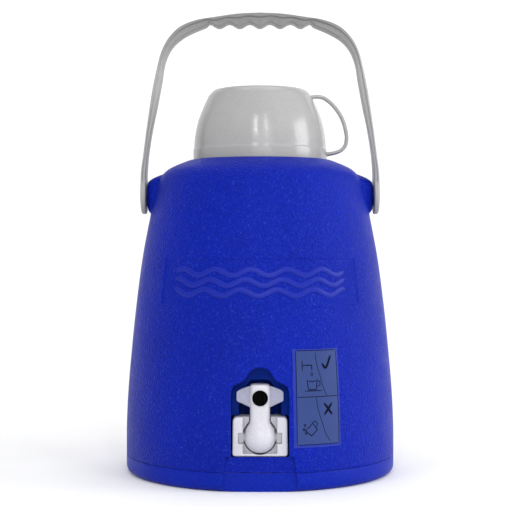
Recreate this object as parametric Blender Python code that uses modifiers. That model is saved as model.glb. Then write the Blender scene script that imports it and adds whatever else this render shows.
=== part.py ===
"""Insulated five litre water jug with a swivelling tap, a screw stopper, a drinking cup and a bail handle.

Metres, +Z up. The origin is on the floor at the middle of the base, and the tap faces -Y.
"""

import math

import bmesh
import bpy
from mathutils import Matrix, Vector

MM = 0.001
GAP = 0.3 * MM
TURN_STEPS = 32
SMALL_STEPS = 20
MERGE = 0.00001
SHARP_ANGLE = math.radians(35)

# Outer shell and base
SHELL_WALL = 2.5 * MM
BASE_TOP = 15.8 * MM
SHELL_BOTTOM = BASE_TOP + GAP
GROOVE_RADIUS = 62.0 * MM
GROOVE_FLOOR = 273.0 * MM
GROOVE_LIP = 2.6 * MM
NECK_HOLE_RADIUS = 56.0 * MM
SHOULDER_TOP = 279.3 * MM
BODY_RADIUS = 120.5 * MM
BASE_CORNER = 6.5 * MM
BASE_FLOOR = 3.0 * MM
BASE_LIP_TOP = 21.5 * MM
TRAY_CORNER = 3.0 * MM

# Radius and height down the shell's side, in millimetres
BODY_SIDE = (
    (67.0, 278.0), (72.4, 275.9), (77.8, 273.6), (83.2, 270.6), (87.4, 266.8), (91.6, 259.5),
    (95.5, 246.0), (99.9, 225.0), (105.4, 196.0), (111.3, 153.0), (115.9, 109.0), (119.6, 62.0),
    (120.5, 35.0),
)

# Liner
LINER_WALL = 2.0 * MM
NECK_RADIUS = 50.0 * MM
NECK_WALL = 3.0 * MM
NECK_TOP = 283.0 * MM
NECK_FOOT = 254.0 * MM
LINER_BOTTOM = 18.0 * MM
FLAT_HALF = 40.0 * MM
FLAT_TOP = 112.0 * MM

# Radius and height down the liner's side, in millimetres
LINER_SIDE = (
    (50.0, 257.0), (60.0, 253.0), (68.0, 247.0), (74.0, 232.0), (81.0, 199.0), (86.0, 153.0),
    (88.5, 108.0), (89.0, 63.0), (89.0, 26.0), (86.7, 20.3), (81.0, 18.0),
)

# Collar round the neck
COLLAR_RADIUS = 57.3 * MM
COLLAR_BOTTOM = 262.0 * MM
COLLAR_TOP = 281.0 * MM
COLLAR_CREST = 52.5 * MM
COLLAR_EDGE = 277.5 * MM
NECK_CLEARANCE = 0.4 * MM
GASKET_BOTTOM = 259.1 * MM

# Pivot ears and pins, along X
PIVOT_HEIGHT = 249.0 * MM
EAR_RADIUS = 18.5 * MM
EAR_FACE = 102.2 * MM
EAR_ROUND = 6.5 * MM
EAR_BOSS_RADIUS = 12.5 * MM
EAR_BOSS_DEPTH = 80.0 * MM
INSERT_RADIUS = 8.3 * MM
INSERT_START = 84.8 * MM
INSERT_FLOOR = 2.0 * MM
PIN_RADIUS = 5.0 * MM
PIN_CLEARANCE = 0.5 * MM
PIN_HEAD_RADIUS = 9.5 * MM
PIN_HEAD_START = 104.9 * MM
PIN_FACE = 107.1 * MM

# Bail handle
EYE_RADIUS = 19.3 * MM
EYE_INNER = 102.5 * MM
EYE_OUTER = 107.4 * MM
EYE_BEVEL = 1.2 * MM
STRAP_HALF_WIDTH = 11.0 * MM
STRAP_FLARE = 0.5
FLARE_HEIGHT = 60.0 * MM

# Half of the handle seen from the front, in millimetres: up its outside, and back down its inside
HANDLE_OUTSIDE = (
    (107.1, 249.0), (106.9, 268.0), (104.9, 284.0), (102.4, 305.0), (99.3, 326.5), (95.7, 348.0),
    (92.2, 364.0), (89.3, 375.0), (83.6, 387.0), (78.5, 393.4), (73.0, 398.3), (66.5, 401.9),
    (56.5, 405.3), (40.0, 408.0), (20.0, 410.8), (0.0, 411.9),
)
HANDLE_INSIDE = (
    (44.5, 401.0), (50.0, 399.6), (60.6, 395.4), (69.6, 390.6), (76.4, 385.2), (81.8, 378.2),
    (85.8, 368.5), (88.9, 351.0), (93.0, 329.0), (97.6, 307.0), (101.2, 285.0), (102.7, 268.0),
    (102.8, 249.0),
)
BUMP_PITCH = 18.4 * MM
BUMP_TIP = 399.4 * MM
BUMP_DEPTH = 3.8 * MM

# Tap: ball centre, housing and spout
TAP_Y = -106.5 * MM
TAP_Z = 44.1 * MM
BALL_RADIUS = 13.4 * MM
BALL_CLEARANCE = 0.4 * MM
PLATE_HALF = 22.95 * MM
PLATE_BOTTOM = 29.0 * MM
PLATE_TOP = 61.4 * MM
PLATE_FACE = -113.5 * MM
PLATE_BACK = -91.3 * MM
PLATE_CORNER = 3.0 * MM
WINDOW_HALF = 14.3 * MM
WINDOW_BOTTOM = 30.6 * MM
WINDOW_DEPTH = 3.0 * MM
SHANK_RADIUS = 10.5 * MM
SHANK_BORE = 5.0 * MM
SHANK_END = -72.0 * MM
SHANK_HOLE = 10.9 * MM
SEAT_RADIUS = 7.5 * MM
SEAT_FRONT = -93.8 * MM
OUTER_GASKET_RADIUS = 14.8 * MM
INNER_GASKET_RADIUS = 15.5 * MM
INNER_GASKET_END = -82.0 * MM
NUT_RADIUS = 17.0 * MM
NUT_END = -74.5 * MM
KEEPER_INNER = 13.7 * MM
TRUNNION_RADIUS = 4.1 * MM
TRUNNION_END = 17.8 * MM
SLOT_HALF_HEIGHT = 4.5 * MM
SPOUT_RADIUS = 8.4 * MM
SPOUT_TOP = 89.2 * MM
SPOUT_ROUND = 2.4 * MM
SPOUT_BORE = 4.3 * MM
OUTLET_RADIUS = 6.1 * MM
OUTLET_HEIGHT = 77.1 * MM
WING_OUTLINE = ((6.0, 69.0), (6.0, 87.3), (19.4, 82.9), (19.4, 74.5))
WING_FRONT = -112.0 * MM
WING_BACK = -108.0 * MM

# Alcove round the tap: half of its outline above the housing, in millimetres
ALCOVE_HALF = 24.0 * MM
ALCOVE_BOTTOM = 28.7 * MM
ALCOVE_WALLS_TOP = 105.9 * MM
ALCOVE_SPLIT = 63.5 * MM
ALCOVE_BACK = -89.0 * MM
ALCOVE_STEP = -103.0 * MM
ALCOVE_HOOD = (
    (23.8, 63.0), (23.8, 85.1), (22.4, 88.1), (19.0, 89.9), (14.0, 91.5), (11.6, 93.9),
    (10.2, 97.7), (8.0, 101.1), (4.5, 102.7), (0.0, 103.1),
)
POCKET_HALF = 17.5 * MM
POCKET_TOP = 91.5 * MM
CHANNEL_FACE = -114.0 * MM
CHANNEL_OUTLINE = ((28.0, 29.1), (31.5, -1.0))
CHANNEL_PAD_HALF = 34.0 * MM
CHANNEL_PAD_BACK = -111.0 * MM
CHANNEL_PAD_TOP = 31.5 * MM

# Name panel, pressed into the front of the shell
PANEL_ANGLE = math.radians(49.5)
PANEL_DEPTH = 0.8 * MM
PANEL_SIDE = ((105.92, 192.2), (111.46, 151.8))

# Label: angles from the front towards +X
LABEL_FROM = math.radians(13.3)
LABEL_TO = math.radians(33.8)
LABEL_SIDE = ((115.05, 117.2), (115.9, 109.0), (119.6, 62.0), (120.45, 36.5))
LABEL_THICKNESS = 0.4 * MM

# Stopper
PLUG_RADIUS = 46.2 * MM
PLUG_BOTTOM = 245.2 * MM
PLUG_WALL = 2.2 * MM
FLANGE_RADIUS = 51.5 * MM
FLANGE_BOTTOM = 285.8 * MM
STOPPER_GASKET_INNER = 47.4 * MM
STOPPER_GASKET_OUTER = 49.8 * MM
DISC_THICKNESS = 3.0 * MM
CORE_CLEARANCE = 0.5 * MM
GRIP_LOW = (-33.0 * MM, -6.0 * MM, 302.5 * MM)
GRIP_HIGH = (33.0 * MM, 6.0 * MM, 320.0 * MM)

# Radius and height, in millimetres, over the stopper's crown, inside it, and over its foam core
CROWN_OUTSIDE = ((0.0, 304.0), (34.0, 304.0), (41.0, 301.5), (43.5, 297.0), (43.5, 289.4), (51.5, 289.0))
CROWN_INSIDE = ((44.0, 284.0), (41.0, 295.0), (38.0, 299.0), (0.0, 301.2))
CORE_OUTSIDE = ((0.0, 298.4), (36.5, 298.4), (40.2, 294.5), (43.5, 283.4))

# Cup, upside down: radius and height down its outside, in millimetres
CUP_WALL = 2.0 * MM
CUP_OUTSIDE = (
    (0.0, 343.0), (38.8, 343.0), (42.4, 341.9), (45.7, 338.6), (48.5, 333.1), (51.2, 327.7),
    (55.3, 316.8), (58.0, 306.0), (59.2, 299.0), (60.0, 289.0), (60.4, 273.6),
)
CUP_LOOP = (
    (45.5, 336.4), (52.4, 337.0), (58.0, 335.6), (63.6, 331.6), (69.4, 325.2), (74.0, 317.6),
    (77.2, 308.0), (78.6, 299.6), (77.2, 293.0), (73.6, 288.6), (68.5, 286.4), (59.3, 284.8),
)
LOOP_THICKNESS = 3.6 * MM
LOOP_HALF_WIDTH = 4.5 * MM

# Foam filling hole in the base, and its plug
FILL_Y = 70.0 * MM
FILL_BOSS_RADIUS = 14.0 * MM
FILL_BOSS_TOP = 8.0 * MM
FILL_HEAD_RADIUS = 11.0 * MM
FILL_STEM_RADIUS = 7.7 * MM
FILL_HEAD_TOP = 2.3 * MM


def new_collection(name, hidden=False):
    collection = bpy.data.collections.new(name)
    collection.hide_render = hidden
    bpy.context.scene.collection.children.link(collection)
    return collection


def clear_scene():
    for obj in list(bpy.data.objects):
        bpy.data.objects.remove(obj, do_unlink=True)


def plastic(name, colour, roughness, metallic=0.0):
    material = bpy.data.materials.new(name)
    material.use_nodes = True
    shader = material.node_tree.nodes["Principled BSDF"]
    shader.inputs["Base Color"].default_value = (*colour, 1.0)
    shader.inputs["Roughness"].default_value = roughness
    shader.inputs["Metallic"].default_value = metallic
    return material


def in_metres(points):
    return [tuple(value * MM for value in point) for point in points]


def inset(outline, distance):
    """Moves each point of a side that runs downwards towards the axis, along the side's normal."""
    moved = []
    for index, (radius, height) in enumerate(outline):
        before = outline[max(index - 1, 0)]
        after = outline[min(index + 1, len(outline) - 1)]
        along = Vector((after[0] - before[0], after[1] - before[1])).normalized()
        moved.append((radius + along.y * distance, height - along.x * distance))
    return moved


def place(name, mesh, material):
    """Links the mesh as a part, or as a cutter when it has no material."""
    obj = bpy.data.objects.new(name, mesh)
    if material is None:
        CUTTERS.objects.link(obj)
        obj.hide_render = True
        obj.display_type = "WIRE"
    else:
        PARTS.objects.link(obj)
        mesh.materials.append(material)
    return obj


def mesh_from(name, shape, smooth=True):
    bmesh.ops.recalc_face_normals(shape, faces=shape.faces)
    mesh = bpy.data.meshes.new(name)
    shape.to_mesh(mesh)
    shape.free()
    if smooth:
        mesh.shade_smooth()
        mesh.set_sharp_from_angle(angle=SHARP_ANGLE)
    return mesh


def turned(name, outline, material=None, closed=False, steps=TURN_STEPS):
    """Turns an outline of (radius, height) round the Z axis. Its outer side runs downwards."""
    mesh = bpy.data.meshes.new(name)
    last = len(outline) - 1
    edges = [(index, index + 1) for index in range(last)]
    if closed:
        edges.append((last, 0))
    mesh.from_pydata([(radius, 0.0, height) for radius, height in outline], edges, [])
    obj = place(name, mesh, material)
    screw = obj.modifiers.new("Turn", "SCREW")
    screw.steps = steps
    screw.render_steps = steps
    screw.use_merge_vertices = True
    screw.merge_threshold = MERGE
    return obj


def ring(name, inner, outer, low, high, material=None, steps=SMALL_STEPS):
    outline = [(inner, high), (outer, high), (outer, low), (inner, low)]
    return turned(name, outline, material, closed=True, steps=steps)


def sector(name, outline, start, end, steps, material=None):
    """Sweeps a closed outline of (radius, height) round Z, between two angles from -Y towards +X."""
    shape = bmesh.new()
    direction = Vector((math.sin(start), -math.cos(start), 0.0))
    corners = [direction * radius + Vector((0, 0, height)) for radius, height in outline]
    face = shape.faces.new([shape.verts.new(corner) for corner in corners])
    swept = [face, *face.edges, *face.verts]
    bmesh.ops.spin(shape, geom=swept, axis=(0, 0, 1), cent=(0, 0, 0), angle=end - start, steps=steps)
    return place(name, mesh_from(name, shape), material)


def rod(name, radius, start, end, material=None, segments=SMALL_STEPS, bevel=0.0):
    """A round bar between two points, with an optional bevel on its rims."""
    start = Vector(start)
    end = Vector(end)
    shape = bmesh.new()
    bmesh.ops.create_cone(
        shape, cap_ends=True, segments=segments, radius1=radius, radius2=radius, depth=(end - start).length
    )
    obj = place(name, mesh_from(name, shape), material)
    obj.location = (start + end) / 2
    obj.rotation_euler = (end - start).to_track_quat("Z", "Y").to_euler()
    if bevel:
        round_edges(obj, bevel)
    return obj


def block(name, low, high, material=None, bevel=0.0):
    low = Vector(low)
    high = Vector(high)
    shape = bmesh.new()
    bmesh.ops.create_cube(shape, size=1.0)
    bmesh.ops.scale(shape, vec=high - low, verts=shape.verts)
    obj = place(name, mesh_from(name, shape, smooth=False), material)
    obj.location = (low + high) / 2
    if bevel:
        round_edges(obj, bevel)
    return obj


def round_edges(obj, width, segments=2):
    bevel = obj.modifiers.new("Rounded edges", "BEVEL")
    bevel.width = width
    bevel.segments = segments
    bevel.limit_method = "ANGLE"
    bevel.angle_limit = math.radians(50)


def slab(name, outline, front, back, material=None):
    """A flat outline of (x, z) given thickness along Y, made from a filled curve."""
    curve = bpy.data.curves.new(name, "CURVE")
    curve.dimensions = "2D"
    curve.fill_mode = "BOTH"
    curve.extrude = (back - front) / 2
    spline = curve.splines.new("POLY")
    spline.points.add(len(outline) - 1)
    for point, (x, z) in zip(spline.points, outline):
        point.co = (x, z, 0.0, 1.0)
    spline.use_cyclic_u = True
    guide = bpy.data.objects.new(name, curve)
    guide.location = (0.0, (front + back) / 2, 0.0)
    guide.rotation_euler = (math.radians(90), 0.0, 0.0)
    CUTTERS.objects.link(guide)
    bpy.context.view_layer.update()
    graph = bpy.context.evaluated_depsgraph_get()
    filled = bpy.data.meshes.new_from_object(guide.evaluated_get(graph))
    shape = bmesh.new()
    shape.from_mesh(filled)
    bmesh.ops.remove_doubles(shape, verts=shape.verts, dist=MERGE)
    matrix = guide.matrix_world.copy()
    bpy.data.objects.remove(guide)
    obj = place(name, mesh_from(name, shape), material)
    obj.matrix_world = matrix
    return obj


def move_origin(obj, point):
    """Puts the object's origin on its joint's axis and leaves its shape where it is."""
    target = Matrix.Translation(point)
    obj.data.transform(target.inverted() @ obj.matrix_world)
    obj.matrix_world = target


def mirrored_outline(half):
    """Closes a half outline that starts and ends near x = 0 with its mirror image."""
    other = [(-x, z) for x, z in reversed(half) if x > MERGE]
    return [*half, *other]


def strap_outline(path, thickness):
    """The outline of a strip of even thickness along a path."""
    sides = ([], [])
    for index, point in enumerate(path):
        before = Vector(path[max(index - 1, 0)])
        after = Vector(path[min(index + 1, len(path) - 1)])
        across = (after - before).orthogonal().normalized() * thickness / 2
        sides[0].append(tuple(Vector(point) + across))
        sides[1].append(tuple(Vector(point) - across))
    return [*sides[0], *reversed(sides[1])]


def combine(obj, other, operation):
    boolean = obj.modifiers.new(operation.capitalize(), "BOOLEAN")
    boolean.operation = operation
    boolean.object = other


def cut(obj, *others):
    for other in others:
        combine(obj, other, "DIFFERENCE")


def join(obj, *others):
    for other in others:
        combine(obj, other, "UNION")


def ear_rod(name, side, radius, start, end, material=None, bevel=0.0):
    """A rod on the handle's pivot axis, between two distances from the jug's middle."""
    ends = ((side * start, 0.0, PIVOT_HEIGHT), (side * end, 0.0, PIVOT_HEIGHT))
    return rod(name, radius, *ends, material=material, bevel=bevel)


def tap_rod(name, radius, start, end, material=None, segments=SMALL_STEPS):
    """A rod on the tap's axis, between two places along Y."""
    ends = ((0.0, start, TAP_Z), (0.0, end, TAP_Z))
    return rod(name, radius, *ends, material=material, segments=segments)


def fill_rod(name, radius, low, high, material=None):
    """An upright rod at the foam filling hole."""
    return rod(name, radius, (0.0, FILL_Y, low), (0.0, FILL_Y, high), material=material)


def body_side():
    return in_metres(BODY_SIDE)


def fill_pockets(cavity, margin=0.0):
    """Takes the moulded-in walls of the alcove, the channel and the ears out of a hollow."""
    alcove_walls = block(
        f"{cavity.name}_alcove_walls",
        (-ALCOVE_HALF - SHELL_WALL - margin, -2 * BODY_RADIUS, ALCOVE_BOTTOM - SHELL_WALL - margin),
        (ALCOVE_HALF + SHELL_WALL + margin, ALCOVE_BACK + SHELL_WALL + margin, ALCOVE_WALLS_TOP + margin),
    )
    channel_pad = block(
        f"{cavity.name}_channel_pad",
        (-CHANNEL_PAD_HALF - margin, -2 * BODY_RADIUS, -SHELL_BOTTOM),
        (CHANNEL_PAD_HALF + margin, CHANNEL_PAD_BACK + margin, CHANNEL_PAD_TOP + margin),
    )
    cut(cavity, alcove_walls, channel_pad)
    for side in (-1, 1):
        name = f"{cavity.name}_ear_boss{side}"
        cut(cavity, ear_rod(name, side, EAR_BOSS_RADIUS + margin, EAR_BOSS_DEPTH - margin, BODY_RADIUS))


def channel_cutter():
    half = in_metres(CHANNEL_OUTLINE)
    outline = [*half, *[(-x, z) for x, z in reversed(half)]]
    return slab("channel_cutter", outline, -2 * BODY_RADIUS, CHANNEL_FACE)


def outer_shell():
    """The outer moulding: solid outside form with ears, less its hollow, alcove, channel and panel."""
    side = body_side()
    outline = [
        (0.0, GROOVE_FLOOR), (GROOVE_RADIUS - 0.4 * MM, GROOVE_FLOOR), (GROOVE_RADIUS, SHOULDER_TOP),
        *side, (BODY_RADIUS, SHELL_BOTTOM), (0.0, SHELL_BOTTOM),
    ]
    shell = turned("outer_shell", outline, BLUE)
    for side_sign in (-1, 1):
        name = f"ear{side_sign}"
        join(shell, ear_rod(name, side_sign, EAR_RADIUS, EAR_BOSS_DEPTH, EAR_FACE, bevel=EAR_ROUND))

    inner = inset(side, SHELL_WALL)
    lip_bottom = GROOVE_FLOOR - GROOVE_LIP
    lip_edge = GROOVE_RADIUS + SHELL_WALL
    hollow = turned("shell_hollow", [
        (0.0, NECK_TOP), (NECK_HOLE_RADIUS, NECK_TOP), (NECK_HOLE_RADIUS, lip_bottom),
        (lip_edge, lip_bottom), (lip_edge, inner[0][1] + 0.2 * MM), *inner,
        (BODY_RADIUS - SHELL_WALL, BASE_FLOOR), (0.0, BASE_FLOOR),
    ])
    fill_pockets(hollow)
    cut(shell, hollow, channel_cutter())

    lower = block(
        "alcove_lower",
        (-ALCOVE_HALF, -2 * BODY_RADIUS, ALCOVE_BOTTOM),
        (ALCOVE_HALF, ALCOVE_BACK, ALCOVE_SPLIT),
    )
    hood = slab("alcove_hood", mirrored_outline(in_metres(ALCOVE_HOOD)), -2 * BODY_RADIUS, ALCOVE_STEP)
    pocket = block(
        "alcove_pocket",
        (-POCKET_HALF, -BODY_RADIUS, ALCOVE_SPLIT - 8 * MM),
        (POCKET_HALF, ALCOVE_BACK, POCKET_TOP),
    )
    tap_hole = tap_rod("shell_tap_hole", SHANK_HOLE, -BODY_RADIUS, ALCOVE_BACK + 9 * MM)
    cut(shell, lower, hood, pocket, tap_hole)
    for side_sign in (-1, 1):
        name = f"pin_hole{side_sign}"
        cut(shell, ear_rod(name, side_sign, INSERT_RADIUS + GAP, INSERT_START - GAP, BODY_RADIUS))

    (top_radius, top), (bottom_radius, bottom) = in_metres(PANEL_SIDE)
    panel = [
        (top_radius - PANEL_DEPTH, top), (top_radius + 6 * MM, top),
        (bottom_radius + 6 * MM, bottom), (bottom_radius - PANEL_DEPTH, bottom),
    ]
    cut(shell, sector("panel_cutter", panel, -PANEL_ANGLE, PANEL_ANGLE, 16))


def base_plate():
    """The base moulding: a tray with a spigot that fits inside the shell."""
    spigot = BODY_RADIUS - SHELL_WALL - GAP
    corner = [
        (
            BODY_RADIUS - BASE_CORNER * (1 - math.cos(step * math.pi / 8)),
            BASE_CORNER * (1 - math.sin(step * math.pi / 8)),
        )
        for step in range(5)
    ]
    outline = [
        (0.0, BASE_LIP_TOP), (spigot, BASE_LIP_TOP), (spigot, BASE_TOP), (BODY_RADIUS, BASE_TOP),
        *corner, (0.0, 0.0),
    ]
    base = turned("base_plate", outline, BLUE_BASE)
    inside = spigot - SHELL_WALL
    hollow = turned("base_hollow", [
        (0.0, 2 * BASE_TOP), (inside, 2 * BASE_TOP), (inside, BASE_FLOOR + TRAY_CORNER),
        (inside - TRAY_CORNER, BASE_FLOOR), (0.0, BASE_FLOOR),
    ])
    pad = block(
        "base_pad",
        (-CHANNEL_PAD_HALF, -2 * BODY_RADIUS, 0.0),
        (CHANNEL_PAD_HALF, CHANNEL_PAD_BACK, BASE_TOP),
    )
    fill_boss = fill_rod("fill_boss", FILL_BOSS_RADIUS, 0.0, FILL_BOSS_TOP)
    cut(hollow, pad, fill_boss)
    notch = block(
        "spigot_notch",
        (-CHANNEL_PAD_HALF - GAP, -2 * BODY_RADIUS, BASE_TOP),
        (CHANNEL_PAD_HALF + GAP, CHANNEL_PAD_BACK + GAP, 2 * BASE_TOP),
    )
    head_room = fill_rod("fill_head_room", FILL_HEAD_RADIUS + GAP, -MM, FILL_HEAD_TOP + GAP)
    stem_room = fill_rod("fill_stem_room", FILL_STEM_RADIUS + GAP, MM, FILL_BOSS_TOP + 4 * MM)
    cut(base, hollow, notch, bpy.data.objects["channel_cutter"], head_room, stem_room)


def foam_fill_plug():
    plug = fill_rod("foam_fill_plug", FILL_HEAD_RADIUS, GAP, FILL_HEAD_TOP, GREY_DARK)
    join(plug, fill_rod("fill_stem", FILL_STEM_RADIUS, MM, FILL_BOSS_TOP))


def inner_liner():
    """The vessel: outside form less its hollow, with a flat at the front for the tap."""
    side = in_metres(LINER_SIDE)
    outline = [(0.0, NECK_TOP), (NECK_RADIUS, NECK_TOP), *side, (0.0, LINER_BOTTOM)]
    liner = turned("inner_liner", outline, LINER)
    inner = inset(side, LINER_WALL)[1:]
    mouth = NECK_RADIUS - NECK_WALL
    over_neck = NECK_TOP + 9 * MM
    hollow = turned("liner_hollow", [
        (0.0, over_neck), (mouth, over_neck), (mouth, NECK_FOOT), *inner, (0.0, LINER_BOTTOM + LINER_WALL),
    ])
    flat = ALCOVE_BACK + SHELL_WALL + GAP
    for obj, face in ((liner, flat), (hollow, flat + LINER_WALL)):
        low = (-FLAT_HALF, -BODY_RADIUS, LINER_BOTTOM / 2)
        cut(obj, block(f"{obj.name}_flat", low, (FLAT_HALF, face, FLAT_TOP)))
    cut(liner, hollow, tap_rod("liner_tap_hole", SHANK_HOLE, -BODY_RADIUS, ALCOVE_BACK + 20 * MM))


def foam_insulation():
    """Fills the space between the liner and the shell, down into the base."""
    outer = inset(body_side(), SHELL_WALL + GAP)[1:]
    inner = [(radius + GAP, height) for radius, height in reversed(in_metres(LINER_SIDE))]
    neck_side = NECK_HOLE_RADIUS + GAP
    neck_top = GASKET_BOTTOM - NECK_CLEARANCE
    lip_bottom = GROOVE_FLOOR - GROOVE_LIP - GAP
    tray_side = BODY_RADIUS - 2 * SHELL_WALL - 2 * GAP
    foam = turned("foam_insulation", [
        (0.0, LINER_BOTTOM - GAP), (inner[0][0], LINER_BOTTOM - GAP), *inner[1:],
        (NECK_RADIUS + NECK_CLEARANCE, neck_top), (neck_side, neck_top), (neck_side, lip_bottom),
        (outer[0][0], lip_bottom), *outer,
        (BODY_RADIUS - SHELL_WALL - GAP, BASE_LIP_TOP + GAP), (tray_side, BASE_LIP_TOP + GAP),
        (tray_side, BASE_FLOOR + TRAY_CORNER + 0.4 * MM), (tray_side - TRAY_CORNER, BASE_FLOOR + GAP),
        (0.0, BASE_FLOOR + GAP),
    ], FOAM)
    fill_pockets(foam, GAP)
    cut(foam, fill_rod("foam_boss_room", FILL_BOSS_RADIUS + GAP, 0.0, FILL_BOSS_TOP + GAP))


def neck_pieces():
    """The collar locks the liner's neck into the shell, and its gasket seals against the foam."""
    bore = NECK_RADIUS + NECK_CLEARANCE
    flange_bottom = GROOVE_FLOOR + GAP
    sleeve = NECK_HOLE_RADIUS - NECK_CLEARANCE
    turned("neck_collar", [
        (bore, COLLAR_TOP), (COLLAR_CREST, COLLAR_TOP), (COLLAR_RADIUS, COLLAR_EDGE),
        (COLLAR_RADIUS, flange_bottom), (sleeve, flange_bottom),
        (sleeve, COLLAR_BOTTOM), (bore, COLLAR_BOTTOM),
    ], BLUE_BASE, closed=True)
    ring("neck_gasket", bore, sleeve, GASKET_BOTTOM, COLLAR_BOTTOM - GAP, RUBBER, TURN_STEPS)


def stopper():
    """The stopper carries the gasket under its flange and a foam core closed by a disc."""
    inside = PLUG_RADIUS - PLUG_WALL
    body = turned("stopper_body", [
        *in_metres(CROWN_OUTSIDE), (FLANGE_RADIUS, FLANGE_BOTTOM), (PLUG_RADIUS, FLANGE_BOTTOM),
        (PLUG_RADIUS, PLUG_BOTTOM), (inside, PLUG_BOTTOM), *in_metres(CROWN_INSIDE),
    ], WHITE)
    join(body, block("stopper_grip", GRIP_LOW, GRIP_HIGH, bevel=4 * MM))
    gasket = (STOPPER_GASKET_INNER, STOPPER_GASKET_OUTER, NECK_TOP + GAP, FLANGE_BOTTOM - GAP)
    ring("stopper_gasket", *gasket, RUBBER, TURN_STEPS)
    disc_top = PLUG_BOTTOM + DISC_THICKNESS
    core_side = inside - CORE_CLEARANCE
    turned("stopper_core_foam", [
        *in_metres(CORE_OUTSIDE), (core_side, disc_top + GAP), (0.0, disc_top + GAP),
    ], FOAM)
    disc_side = inside - GAP
    turned("stopper_bottom_disc", [
        (0.0, disc_top), (disc_side, disc_top), (disc_side, PLUG_BOTTOM), (0.0, PLUG_BOTTOM),
    ], WHITE)


def drinking_cup():
    """The cup stands upside down over the stopper, with a finger loop on its side."""
    outside = in_metres(CUP_OUTSIDE)
    wall = inset(outside, CUP_WALL)
    rim_radius, rim_height = outside[-1]
    floor = outside[0][1] - CUP_WALL
    rim = (rim_radius - CUP_WALL, rim_height)
    inside = [rim, *reversed(wall[2:-1]), (outside[1][0], floor), (0.0, floor)]
    cup = turned("drinking_cup", [*outside, *inside], GREY)
    loop = strap_outline(in_metres(CUP_LOOP), LOOP_THICKNESS)
    join(cup, slab("cup_loop", loop, -LOOP_HALF_WIDTH, LOOP_HALF_WIDTH))


def bumps():
    """Points along the grip's underside from the middle bump outwards."""
    points = []
    for step in range(2 * 4 + 1):
        x = step * BUMP_PITCH / 4
        points.append((x, BUMP_TIP + BUMP_DEPTH * (1 - math.cos(2 * math.pi * x / BUMP_PITCH)) / 2))
    return points


def bail_handle():
    """A bent strap, wider at its eyes, with a counterbored hole in each eye."""
    inside = [*bumps(), *in_metres(HANDLE_INSIDE)]
    outside = in_metres(HANDLE_OUTSIDE)
    outside_mirrored = [(-x, z) for x, z in reversed(outside[:-1])]
    inside_mirrored = [(-x, z) for x, z in reversed(inside)]
    outline = [*outside, *outside_mirrored, *inside_mirrored, *inside[1:]]
    handle = slab("bail_handle", outline, -STRAP_HALF_WIDTH, STRAP_HALF_WIDTH, GREY)
    for vertex in handle.data.vertices:
        below = max(0.0, PIVOT_HEIGHT + FLARE_HEIGHT - vertex.co.y) / FLARE_HEIGHT
        vertex.co.z *= 1 + STRAP_FLARE * below
    for side in (-1, 1):
        join(handle, ear_rod(f"eye{side}", side, EYE_RADIUS, EYE_INNER, EYE_OUTER, bevel=EYE_BEVEL))
    room_start = PIN_HEAD_START - GAP
    for side in (-1, 1):
        hole = ear_rod(f"eye_hole{side}", side, PIN_RADIUS + PIN_CLEARANCE, EAR_FACE - MM, BODY_RADIUS)
        head_room = ear_rod(f"head_room{side}", side, PIN_HEAD_RADIUS + GAP, room_start, BODY_RADIUS)
        cut(handle, hole, head_room)
    move_origin(handle, (0.0, 0.0, PIVOT_HEIGHT))


def pivots():
    for side, word in ((-1, "left"), (1, "right")):
        insert = ear_rod(f"pivot_insert_{word}", side, INSERT_RADIUS, INSERT_START, EAR_FACE - GAP, BUSH)
        bore_start = INSERT_START + INSERT_FLOOR
        cut(insert, ear_rod(f"insert_bore_{word}", side, PIN_RADIUS + GAP, bore_start, BODY_RADIUS))
        pin_start = bore_start + GAP
        pin = ear_rod(f"pivot_pin_{word}", side, PIN_RADIUS, pin_start, PIN_HEAD_START + MM, GREY_DARK)
        join(pin, ear_rod(f"pin_head_{word}", side, PIN_HEAD_RADIUS, PIN_HEAD_START, PIN_FACE))


def tap_housing():
    """The square plate with the ball's socket, and the shank that goes through the wall."""
    low = (-PLATE_HALF, PLATE_FACE, PLATE_BOTTOM)
    high = (PLATE_HALF, PLATE_BACK, PLATE_TOP)
    housing = block("tap_housing", low, high, WHITE, PLATE_CORNER)
    join(housing, tap_rod("tap_shank", SHANK_RADIUS, PLATE_BACK - 2 * MM, SHANK_END))
    window = block(
        "tap_window",
        (-WINDOW_HALF, -BODY_RADIUS, WINDOW_BOTTOM),
        (WINDOW_HALF, PLATE_FACE + WINDOW_DEPTH, 70 * MM),
    )
    socket = ball("tap_socket", BALL_RADIUS + BALL_CLEARANCE)
    mouth = tap_rod("socket_mouth", BALL_RADIUS + BALL_CLEARANCE, -BODY_RADIUS, TAP_Y)
    neck_slot = block(
        "neck_slot",
        (-SPOUT_RADIUS - 0.5 * MM, -BODY_RADIUS, TAP_Z),
        (SPOUT_RADIUS + 0.5 * MM, TAP_Y + SPOUT_RADIUS + 0.7 * MM, 70 * MM),
    )
    trunnion_slot = block(
        "trunnion_slot",
        (-TRUNNION_END - GAP, -BODY_RADIUS, TAP_Z - SLOT_HALF_HEIGHT),
        (TRUNNION_END + GAP, TAP_Y + TRUNNION_RADIUS + 0.4 * MM, TAP_Z + SLOT_HALF_HEIGHT),
    )
    waterway = tap_rod("tap_waterway", SHANK_BORE, TAP_Y, SHANK_END + 5 * MM)
    seat_room = tap_rod("seat_room", SEAT_RADIUS + GAP, TAP_Y, PLATE_BACK + GAP)
    cut(housing, window, mouth, socket, neck_slot, trunnion_slot, waterway, seat_room)


def ball(name, radius, material=None):
    shape = bmesh.new()
    bmesh.ops.create_uvsphere(shape, u_segments=SMALL_STEPS, v_segments=SMALL_STEPS // 2, radius=radius)
    obj = place(name, mesh_from(name, shape), material)
    obj.location = (0.0, TAP_Y, TAP_Z)
    obj.rotation_euler = (0.0, math.radians(90), 0.0)
    return obj


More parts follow.
